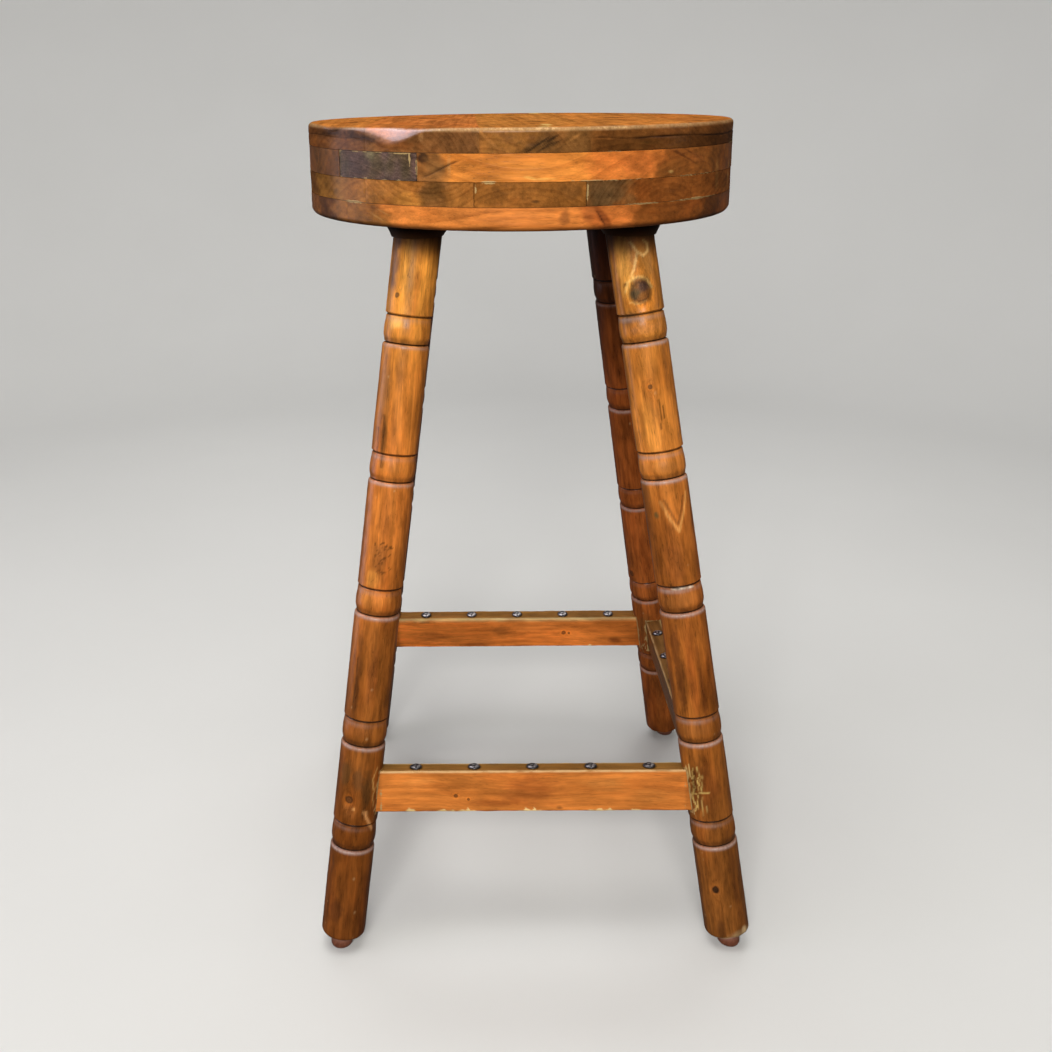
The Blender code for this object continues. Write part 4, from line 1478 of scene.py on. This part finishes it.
def build_leg(corner):
    look = LEG_LOOKS[corner]
    seed = look["seed"]
    matrix, length = leg_matrix(corner), leg_length(corner)
    leg = turned(f"fine_leg_{corner}", leg_rings(length), matrix, LEG_SEGMENTS)
    chip_at = -88 if corner == "front_right" else -40 + 70 * seed
    wear_leg(leg, seed, length, chip_at)
    sides = [side for side, ends in SIDES.items() if corner in ends]
    for side in sides:
        carve(leg, mortise(side, corner))

    points = points_of(leg)
    reach, degrees = polar(points)
    tree, knot = leg_grain(points, look)
    grime, dust_sheen = leg_dirt_shade_and_sheen(points, reach, degrees, look, length)
    glue = np.max([near_mortise(points, matrix, side, corner) for side in sides], axis=0)
    glue *= 0.30 + 0.75 * (0.5 + 0.5 * fuzz(points, 190, seed + 6))
    chip = bell(turn_from(degrees, chip_at), 0, 42) * ease(0.0052, 0.0015, points[:, 2])
    chip *= ease(0.0125, 0.0155, reach) * (0.75 + 0.5 * fuzz(points, 260, seed))
    wear = np.maximum(1.15 * chip, 0.75 * scattered_nicks(points, seed, length))
    store(leg, grain=tree, knot=knot, tint=leg_tint(points, degrees, corner, length))
    store(leg, wear=np.clip(wear, 0, 1), grime=np.clip(grime, 0, 1), glue=np.clip(glue, 0, 1))
    store(leg, bloom=np.clip(dust_sheen, 0, 1), varnish=ease(length - 0.014, length - 0.050, points[:, 2]))
    finish_piece(leg, f"leg_{corner}", "leg_pine", 32)


def scattered_nicks(points, seed, length):
    """Small pale nicks, most of them near the foot."""
    luck = np.random.RandomState(seed * 77 + 5)
    nicks = np.zeros(len(points))
    for _ in range(34):
        angle = luck.uniform(-180, 180)
        place = length * luck.uniform(0, 1) ** 2.2
        size = luck.uniform(0.0007, 0.0013)
        apart = np.linalg.norm((points - on_leg(angle, place)) * (1, 1, 0.7), axis=1)
        nicks = np.maximum(nicks, bell(apart, 0, size))
    return nicks


def build_collar(corner):
    top = SEAT_UNDERSIDE - GAP
    bore = LEG_RADIUS + GAP
    rings = [("level", bore, top), ("level", COLLAR_TOP_RADIUS - 0.0004, top)]
    rings.append(("level", COLLAR_TOP_RADIUS, top - 0.0004))
    for share in np.linspace(0, 1, 13):
        radius = COLLAR_TOP_RADIUS + (COLLAR_FOOT_RADIUS - COLLAR_TOP_RADIUS) * share**0.82
        rings.append(("level", radius, top - COLLAR_LIP - (COLLAR_HEIGHT - COLLAR_LIP) * share))
    rings.append(("level", bore, top - COLLAR_HEIGHT))
    matrix = leg_matrix(corner)
    collar = turned(f"fine_collar_{corner}", rings, matrix, 72, tube=True)
    points = points_of(collar)
    reach = np.linalg.norm(points[:, :2], axis=1)
    lost = 0.00025 * (1 + fuzz(points, 130, 2)) * ease(bore + 0.0005, bore + 0.002, reach)
    shrink(points, reach, lost)
    move_points(collar, points)
    heights = points @ np.array(matrix)[2, :3] + matrix[2][3]
    # Painted shade: 0 right under the seat, rising to 1 at the collar's foot, where the colour is
    # lighter
    store(collar, wear=ease(top - 0.0030, top - COLLAR_HEIGHT, heights))
    finish_piece(collar, f"collar_{corner}", "collar_dark", 40)


def build_glide(corner):
    flat = GLIDE_FLAT_RADIUS
    rings = [("level", 0.0030, 0.0), ("level", flat - 0.0006, 0.0), ("level", flat + 0.0004, 0.0002)]
    rings += [("level", flat + 0.0008 + 0.0022 * s, 0.0004 + 0.0040 * c) for s, c in quarter(8)]
    rings.append(("level", GLIDE_RADIUS, 0.0058))
    rings += [("at", GLIDE_RADIUS, -d) for d in (0.0042, 0.0036, 0.0030, 0.0025, 0.0020, 0.0016)]
    rings += [
        ("at", GLIDE_RADIUS - 0.0004, -GAP),
        ("at", GLIDE_STEM_RADIUS, -GAP),
        ("at", GLIDE_STEM_RADIUS, GLIDE_STEM_LENGTH),
    ]
    glide = turned(f"fine_glide_{corner}", rings, leg_matrix(corner), 48)
    points = points_of(glide)
    edge = bell(points[:, 2], -0.0026, 0.0013) * (1.0 + 0.4 * fuzz(points, 200, 8))
    store(glide, wear=np.clip(edge, 0, 1))
    finish_piece(glide, f"glide_{corner}", "glide_brown", 40)


# --------------------------------------------------------- stretchers and nails


def side_frame(side):
    """For one side: its two corners, the index of the run's axis, and the other one."""
    first, last = SIDES[side]
    along = 0 if CORNERS[first][0] != CORNERS[last][0] else 1
    return first, last, along, 1 - along


def section_axes(side):
    """The middle of a bar's section, and its directions across and up. The section
    leans with the two legs that hold the bar."""
    first, last, along, across = side_frame(side)
    up = axis_point(first, 1.0) - axis_point(first, 0.0)
    up[along] = 0
    up.normalize()
    out = Vector((0, 0, 0))
    out[across], out.z = up.z, -up[across]
    centre = (axis_point(first, STRETCHER_CENTRE) + axis_point(last, STRETCHER_CENTRE)) / 2
    return centre, out, up


def mortise(side, corner):
    """The hole for one end of a stretcher, as a solid to cut with."""
    first, _, along, _ = side_frame(side)
    centre, out, up = section_axes(side)
    tall, half = STRETCHER_HEIGHT / 2 + GAP, STRETCHER_THICKNESS / 2 + GAP
    sign = 1 if corner == first else -1
    points = []
    for rise in (-tall, tall):
        for face, end in ((-half, 0), (-half, 1), (half, 1), (half, 0)):
            point = centre + face * out + rise * up
            inner = axis_point(corner, point.z)[along] + sign * (STRETCHER_INSET - GAP)
            point[along] = sorted((inner, inner + sign * 2 * LEG_RADIUS))[end]
            points.append(point)
    faces = ((0, 1, 2, 3), (4, 5, 6, 7), (0, 1, 5, 4), (1, 2, 6, 5), (2, 3, 7, 6), (3, 0, 4, 7))
    return outward(new_object("mortise", points, faces))


def near_mortise(points, matrix, side, corner):
    """1 beside the edge of the stretcher's hole, falling away over a few millimetres."""
    first, _, along, _ = side_frame(side)
    centre, out, up = section_axes(side)
    turn = np.array(matrix)
    world = points @ turn[:3, :3].T + turn[:3, 3]
    offset = world - np.array(centre)
    beyond = np.maximum(
        np.abs(offset @ np.array(out)) - STRETCHER_THICKNESS / 2,
        np.abs(offset @ np.array(up)) - STRETCHER_HEIGHT / 2,
    )
    axis = np.array([axis_point(corner, h)[along] for h in (0.0, 1.0)])
    middle = axis[0] + (axis[1] - axis[0]) * world[:, 2]
    facing = (world[:, along] - middle) * (1 if corner == first else -1)
    messy = fuzz(points, 330, 15)
    near = bell(beyond, 0.0008, 0.0020 + 0.0012 * messy)
    strings = ease(0.72, 0.95, 1 - np.abs(fuzz(points * (1, 1, 0.45), 420, 16)))
    wide = ease(0.011, 0.002, beyond) * (beyond > 0) * strings * ease(-0.2, 0.4, fuzz(points, 60, 18))
    return np.maximum(near, wide) * ease(-0.001, 0.004, facing)


# Each bar's face and top colours, heart across and up, seed, knots as (run from the
# middle, height up from the bottom, radius), marks as (run, height up, half length, half
# height, colour, share), and chips in the bottom edge as (run, half length)
STRETCHER_LOOKS = {
    "front": {
        "tones": ((214, 127, 55), (146, 102, 46)),
        "heart": (0.02, -0.052),
        "seed": 1,
        "knots": ((-0.0695, 0.015, 0.0017), (-0.0585, 0.0118, 0.0012)),
        "marks": (
            (-0.004, 0.02, 0.026, 0.015, (178, 96, 42), 0.6),
            (0.021, 0.0035, 0.003, 0.0012, (96, 50, 22), 0.8),
            (-0.1, 0.028, 0.014, 0.004, (236, 150, 72), 0.5),
            (0.062, 0.026, 0.02, 0.006, (226, 146, 70), 0.5),
            (-0.04, 0.008, 0.03, 0.003, (184, 102, 44), 0.5),
            (0.1, 0.014, 0.016, 0.009, (206, 128, 58), 0.4),
        ),
        "chips": (
            (-0.109, 0.004), (-0.078, 0.008), (-0.06, 0.008), (-0.005, 0.01), (0.059, 0.012),
            (0.088, 0.004),
        ),
    },
    "back": {
        "tones": ((236, 134, 57), (156, 106, 46)),
        "heart": (-0.018, 0.06),
        "seed": 2,
        "knots": ((0.05, 0.019, 0.0022), (0.056, 0.0182, 0.0014)),
        "marks": (
            (-0.104, 0.034, 0.018, 0.0009, (60, 32, 16), 0.9),
            (-0.02, 0.022, 0.012, 0.006, (148, 88, 40), 0.6),
            (0.108, 0.008, 0.007, 0.004, (116, 54, 22), 0.7),
            (-0.1, 0.014, 0.02, 0.006, (168, 92, 40), 0.5),
            (-0.048, 0.003, 0.02, 0.003, (140, 76, 32), 0.6),
            (0.02, 0.026, 0.03, 0.006, (206, 120, 54), 0.5),
        ),
        "chips": ((0.08, 0.002),),
    },
    "left": {
        "tones": ((200, 116, 50), (134, 90, 44)),
        "heart": (0.03, -0.04),
        "seed": 3,
        "knots": ((-0.03, 0.02, 0.0036),),
        "marks": ((0.05, 0.02, 0.02, 0.008, (168, 92, 40), 0.5),),
        "chips": ((-0.04, 0.008), (0.07, 0.005)),
    },
    "right": {
        "tones": ((190, 108, 46), (136, 94, 48)),
        "heart": (0.016, 0.05),
        "seed": 4,
        "knots": ((0.048, 0.022, 0.003),),
        "marks": ((-0.05, 0.018, 0.024, 0.008, (160, 88, 38), 0.5),),
        "chips": ((0.02, 0.008), (-0.08, 0.005)),
    },
}


def bar_profile():
    """Points round the bar's section, as (across, up) from its bottom middle."""
    half, tall, bevel = STRETCHER_THICKNESS / 2, STRETCHER_HEIGHT, 0.0014
    corners = np.array(((half, 0), (half, tall), (-half, tall), (-half, 0)))
    profile = []
    for a, b, after in zip(corners, np.roll(corners, -1, 0), np.roll(corners, -2, 0)):
        unit, onward = (b - a) / np.linalg.norm(b - a), (after - b) / np.linalg.norm(after - b)
        start, end = a + unit * bevel, b - unit * bevel
        steps = max(4, round(np.linalg.norm(end - start) / 0.0017))
        thirds = [s / steps / 3 for s in (1, 2)]
        shares = [*(s / steps for s in range(steps + 1)), *thirds, *(1 - s for s in thirds)]
        profile += [start + (end - start) * s for s in sorted(shares)]
        for angle in np.radians((22.5, 45, 67.5)):
            swing = unit * math.sin(angle) - onward * math.cos(angle)
            profile.append(end + onward * bevel + swing * bevel)
    return np.array(profile)


def bar_body(side, seed):
    """A bar with rubbed edges, unevenly planed faces and holes for its nails."""
    first, last, along, _ = side_frame(side)
    centre, out_axis, up_axis = section_axes(side)
    profile = bar_profile()
    share = np.repeat(np.linspace(0, 1, BAR_STATIONS + 1), len(profile))
    section = np.tile(profile, (BAR_STATIONS + 1, 1)) - (0, STRETCHER_HEIGHT / 2)
    near = np.abs(section) / (STRETCHER_THICKNESS / 2, STRETCHER_HEIGHT / 2)
    where = np.stack([share * 0.3, section[:, 0], section[:, 1]], 1)
    rub = 0.55 + 0.75 * fuzz(where, 70, seed) + 0.4 * fuzz(where, 260, seed)
    rub *= 0.00055 * ease(0.78, 0.95, near[:, 0]) * ease(0.92, 0.985, near[:, 1])
    take = np.maximum(rub, 0) + 0.00010 * (1 + fuzz(where, 45, seed + 4))
    take *= 0.15 + 0.85 * ease(0, 0.06, share) * ease(1, 0.94, share)
    section -= np.sign(section) * take[:, None] * (near > (0.9, 0.93))
    points = np.array(centre) + section @ np.array((out_axis, up_axis))
    ends = []
    for corner, sign in ((first, 1), (last, -1)):
        base, rise = axis_point(corner, 0.0)[along], axis_point(corner, 1.0)[along]
        ends.append(base + (rise - base) * points[:, 2] + sign * STRETCHER_INSET)
    points[:, along] = ends[0] + (ends[1] - ends[0]) * share
    faces = skin(len(profile), BAR_STATIONS + 1)
    bar = outward(new_object(f"fine_stretcher_{side}", points, faces))
    hole = NAIL_SHANK_RADIUS + GAP
    for matrix in nail_matrices(side):
        rings = [("at", hole, -NAIL_SHANK_LENGTH - 2 * GAP), ("at", hole, 0.004)]
        carve(bar, turned("pilot", rings, matrix, 12))
    return bar


def bar_wear(side, place):
    """How worn each place on the bar is, and how pale its bare edges and chips are."""
    look = STRETCHER_LOOKS[side]
    seed, chips = look["seed"], look["chips"]
    run, out, up = place.T
    side_edge = bell(np.abs(out), STRETCHER_THICKNESS / 2 - 0.0006, 0.0014)
    wear = bell(up, STRETCHER_HEIGHT - 0.0008, 0.0015) * (1.0 + 0.22 * fuzz(place, 120, seed))
    chipped = 0.10 + 0.30 * fuzz(place, 55, seed + 12)
    for at, half in chips:
        chipped = np.maximum(chipped, 1.3 * bell(run, at, half) + 0.4 * fuzz(place, 330, seed))
    wear = side_edge * np.maximum(wear, bell(up, 0.0006, 0.0014) * chipped)
    front = ease(0.0, 0.004, out if side != "back" else -out)
    pale = (1.7 if side == "front" else 0.9) * bell(up, STRETCHER_HEIGHT - 0.0014, 0.0021)
    pale *= side_edge * front * (0.8 + 0.35 * fuzz(place, 90, seed + 1))
    ragged = 0.0023 * (1 + 0.9 * fuzz(place * (1, 1, 0), 380, seed + 3))
    for at, half in chips:
        low = ease(0.0003, -0.0003, up - ragged * bell(run, at, half * 1.2))
        pale = np.maximum(pale, low * ease(0.2, 0.5, bell(run, at, half)) * side_edge)
    pale = np.clip(pale, 0, 1)
    return wear * (1 - 0.85 * pale), pale


def bar_tint(side, place, on_top, pale):
    """The stain over one bar, with its marks. The side bars' inner faces take the darker top colour,
    as painted shade.
    """
    look = STRETCHER_LOOKS[side]
    seed = look["seed"]
    face_tone, top_tone = look["tones"]
    run, out, up = place.T
    tint = blend(tone(*face_tone), top_tone, on_top)
    tint *= (1 + 0.14 * fuzz(place * (1, 1, 2), 30, seed + 2))[:, None]
    tint *= (1 + 0.10 * fuzz(place * (0.5, 1, 2), 120, seed + 5))[:, None]
    ragged = 0.30 * fuzz(place * (0.6, 1, 1.6), 150, 21) + 0.22 * fuzz(place, 420, 22)
    for at, rise, length, tall, colour, amount in look["marks"]:
        far = np.hypot((run - at) / length, (up - rise) / tall)
        tint = blend(tint, colour, amount * ease(1.3, 0.4, far + ragged) * (1 - on_top))
    # The side bars' inner faces, turned into the shade under the seat, are painted darker
    if side in ("left", "right"):
        inner = ease(0.0, 0.0040, -out if side == "right" else out)
        tint = blend(tint, top_tone, 0.75 * inner)
    return blend(tint, (255, 228, 156), 0.9 * pale)


def build_stretcher(side):
    look = STRETCHER_LOOKS[side]
    seed = look["seed"]
    bar = bar_body(side, seed)
    # Places on the bar are along it, across it and up from its bottom
    first, last, along, _ = side_frame(side)
    centre, out_axis, up_axis = section_axes(side)
    offset = points_of(bar) - np.array(centre)
    run, out = offset[:, along] + centre[along], offset @ np.array(out_axis)
    up = offset @ np.array(up_axis) + STRETCHER_HEIGHT / 2
    place = np.stack([run, out, up], 1)
    heart, heart_up = look["heart"]
    bend = 0.0016 * np.sin(run * 34 + seed * 2)
    tree = [
        out - heart + 0.016 * run + bend,
        up - STRETCHER_HEIGHT / 2 - heart_up + 0.014 * run + bend,
        run + seed * 3.1,
    ]
    knots = []
    for at, rise, radius in look["knots"]:
        knots += [((at, sign * STRETCHER_THICKNESS / 2, rise), radius) for sign in (-1, 1)]
    tree, knot = warp_round_knots(place, np.stack(tree, 1), knots, (1, 0, 0))
    on_top = ease(STRETCHER_HEIGHT - 0.0016, STRETCHER_HEIGHT - 0.0006, up)
    wear, pale = bar_wear(side, place)
    legs = [axis_point(corner, STRETCHER_CENTRE)[along] for corner in (first, last)]
    far = np.min([np.abs(run - leg) for leg in legs], axis=0)
    # Darker where the bar meets the legs, and round each nail head on its top: painted shade, with
    # dirt round the nails
    grime = 0.34 * ease(LEG_RADIUS + 0.004, LEG_RADIUS - 0.001, far)
    for i in range(NAILS):
        at = centre[along] + (i - (NAILS - 1) / 2) * NAIL_PITCH
        apart = np.hypot(run - at, out)
        near = ease(NAIL_HEAD_RADIUS + 0.0028, NAIL_HEAD_RADIUS - 0.001, apart)
        grime = np.maximum(grime, 0.75 * near * on_top)
    glue = 0.60 * bell(far, LEG_RADIUS + 0.0008, 0.0018) * (0.5 + 0.9 * fuzz(place, 150, seed))
    store(bar, grain=tree, knot=knot, tint=bar_tint(side, place, on_top, pale))
    store(bar, wear=np.clip(wear, 0, 1), grime=np.clip(grime, 0, 1), glue=np.clip(glue, 0, 1))
    store(bar, varnish=1 - 0.7 * on_top)
    finish_piece(bar, f"stretcher_{side}", "stretcher_pine", 50)


def nail_matrices(side):
    """Where each nail stands on the bar's top, evenly spaced about its middle, with +Z
    out of the wood."""
    along = side_frame(side)[2]
    centre, _, up = section_axes(side)
    run = Vector((0, 0, 0))
    run[along] = 1
    turn = Matrix((run, up.cross(run), up)).transposed().to_4x4()
    places = []
    for i in range(NAILS):
        shift = (i - (NAILS - 1) / 2) * NAIL_PITCH
        place = centre + shift * run + STRETCHER_HEIGHT / 2 * up
        places.append(Matrix.Translation(place) @ turn)
    return places


def build_nails(side, seed):
    shank, head, low = NAIL_SHANK_RADIUS, NAIL_HEAD_RADIUS, GAP + 0.0003
    rings = [
        ("at", shank * 0.4, -NAIL_SHANK_LENGTH),
        ("at", shank, -NAIL_SHANK_LENGTH + 0.0025),
        ("at", shank, GAP),
        ("at", head - 0.0003, GAP),
        ("at", head, low),
    ]
    for s, c in quarter(11)[1:-1]:
        rings.append(("at", head * (1 - c) ** 0.6, low + (NAIL_HEAD_HEIGHT - 0.0003) * s))
    for i, matrix in enumerate(nail_matrices(side)):
        nail = turned(f"fine_nail_{side}_{i + 1}", rings, matrix, 40)
        points = points_of(nail)
        where = points + np.array(matrix.translation)
        raised = ease(GAP, GAP + 0.0006, points[:, 2])
        dent = fuzz(where, 420, seed * 5 + i)
        points[:, :2] *= (1 - 0.045 * raised * (1 + dent) / 2)[:, None]
        points[:, 2] -= 0.00020 * raised * (1 + fuzz(where, 650, seed + i)) / 2
        move_points(nail, points)
        finish_piece(nail, f"nail_{side}_{i + 1}", "nail_steel", 50)


# ------------------------------------------------------------------------ stage


def build_floor():
    """A pale round floor that curves up into a wall all round the stool."""
    flat, bend, top, segments = 1.7, 1.1, 4.0, 96
    rows = [(flat + bend * s, bend * c) for s, c in quarter(16)]
    rows.append((flat + bend, top))
    points = [(0.0, 0.0, 0.0)]
    for radius, height in rows:
        for i in range(segments):
            angle = math.tau * i / segments
            points.append((radius * math.sin(angle), radius * math.cos(angle), height))
    faces = []
    for i in range(segments):
        after = (i + 1) % segments
        faces.append((0, 1 + after, 1 + i))
        for low in range(1, 1 + (len(rows) - 1) * segments, segments):
            high = low + segments
            faces.append((low + i, low + after, high + after, high + i))
    floor = new_object("floor", points, faces)
    g = Graph("floor_pale")
    place = g.put("TexCoord").outputs["Object"]
    soft = g.noise(place, 3.0, 3)
    colour = g.mix(soft, (0.66, 0.66, 0.645, 1), (0.70, 0.70, 0.685, 1))
    matt = g.surface(Base_Color=colour, Roughness=0.9, Specular_IOR_Level=0.0)
    floor.data.materials.append(matt)
    floor.data.shade_smooth()
    # It takes the stool's shadow, and neither blocks the lights nor tints the stool
    floor.visible_shadow = False
    floor.visible_glossy = False
    floor.visible_diffuse = False


def area_light(name, place, aim, size, power, colour=(1, 1, 1), glint=False):
    """A soft box. A glint one shows only in the varnish."""
    data = bpy.data.lights.new(name, "AREA")
    data.shape = "RECTANGLE"
    data.size, data.size_y = size
    data.energy = power
    data.color = colour
    light = bpy.data.objects.new(name, data)
    light.location = place
    towards = Vector(aim) - Vector(place)
    light.rotation_euler = towards.to_track_quat("-Z", "Y").to_euler()
    light.visible_diffuse = not glint
    bpy.context.collection.objects.link(light)


def build_lights():
    cool, warm = (0.86, 0.84, 1), (1, 0.98, 0.95)
    area_light("key", (-0.30, -2.3, 1.45), (0, 0, 0.42), (1.1, 0.8), 56, warm)
    area_light("left", (-1.9, -0.4, 1.2), (0, 0, 0.5), (0.7, 1.5), 4, cool)
    area_light("right", (1.9, -0.3, 1.3), (0, 0, 0.4), (0.7, 1.4), 2.5, warm)
    area_light("top", (-0.35, -0.4, 2.5), (0, 0.1, 0.4), (1.5, 1.3), 27, warm)
    area_light("behind", (0, 1.5, 2.6), (0, 1.3, 0), (3.0, 1.2), 32)
    area_light("window", (-1.37, 0.44, 2.27), (-0.1, -0.1, 0.7), (1.5, 1.5), 50, cool, True)
    area_light("low_window", (-1.8, 0.30, 0.55), (0, 0, 0.45), (0.9, 1.5), 12, cool, True)
    world = bpy.data.worlds.new("studio")
    world.use_nodes = True
    world.node_tree.nodes["Background"].inputs[0].default_value = (1, 0.95, 0.90, 1)
    world.node_tree.nodes["Background"].inputs[1].default_value = 0.09
    bpy.context.scene.world = world
    bpy.context.scene.view_settings.view_transform = "Standard"


def build_camera():
    """Eye level just above the seat, looking slightly down."""
    yaw, pitch, roll = -0.01191, 0.30460, -0.01246
    ahead = Vector((math.sin(yaw), math.cos(yaw), 0))
    right = Vector((math.cos(yaw), -math.sin(yaw), 0))
    up = Vector((0, 0, 1))
    look = ahead * math.cos(pitch) - up * math.sin(pitch)
    over = up * math.cos(pitch) + ahead * math.sin(pitch)
    x_axis = right * math.cos(roll) + over * math.sin(roll)
    y_axis = over * math.cos(roll) - right * math.sin(roll)
    turn = Matrix((x_axis, y_axis, -look)).transposed().to_4x4()
    data = bpy.data.cameras.new("camera")
    data.sensor_width = 36.0
    data.lens = 39.465
    data.shift_x = 0.0695
    data.shift_y = -0.0799
    camera = bpy.data.objects.new("camera", data)
    camera.matrix_world = Matrix.Translation((-0.05782, -1.02849, 0.74012)) @ turn
    bpy.context.collection.objects.link(camera)
    bpy.context.scene.camera = camera


build_seat()
for corner in CORNERS:
    build_leg(corner)
    build_collar(corner)
    build_glide(corner)
for seed, side in enumerate(SIDES):
    build_stretcher(side)
    build_nails(side, seed)
build_floor()
build_lights()
build_camera()
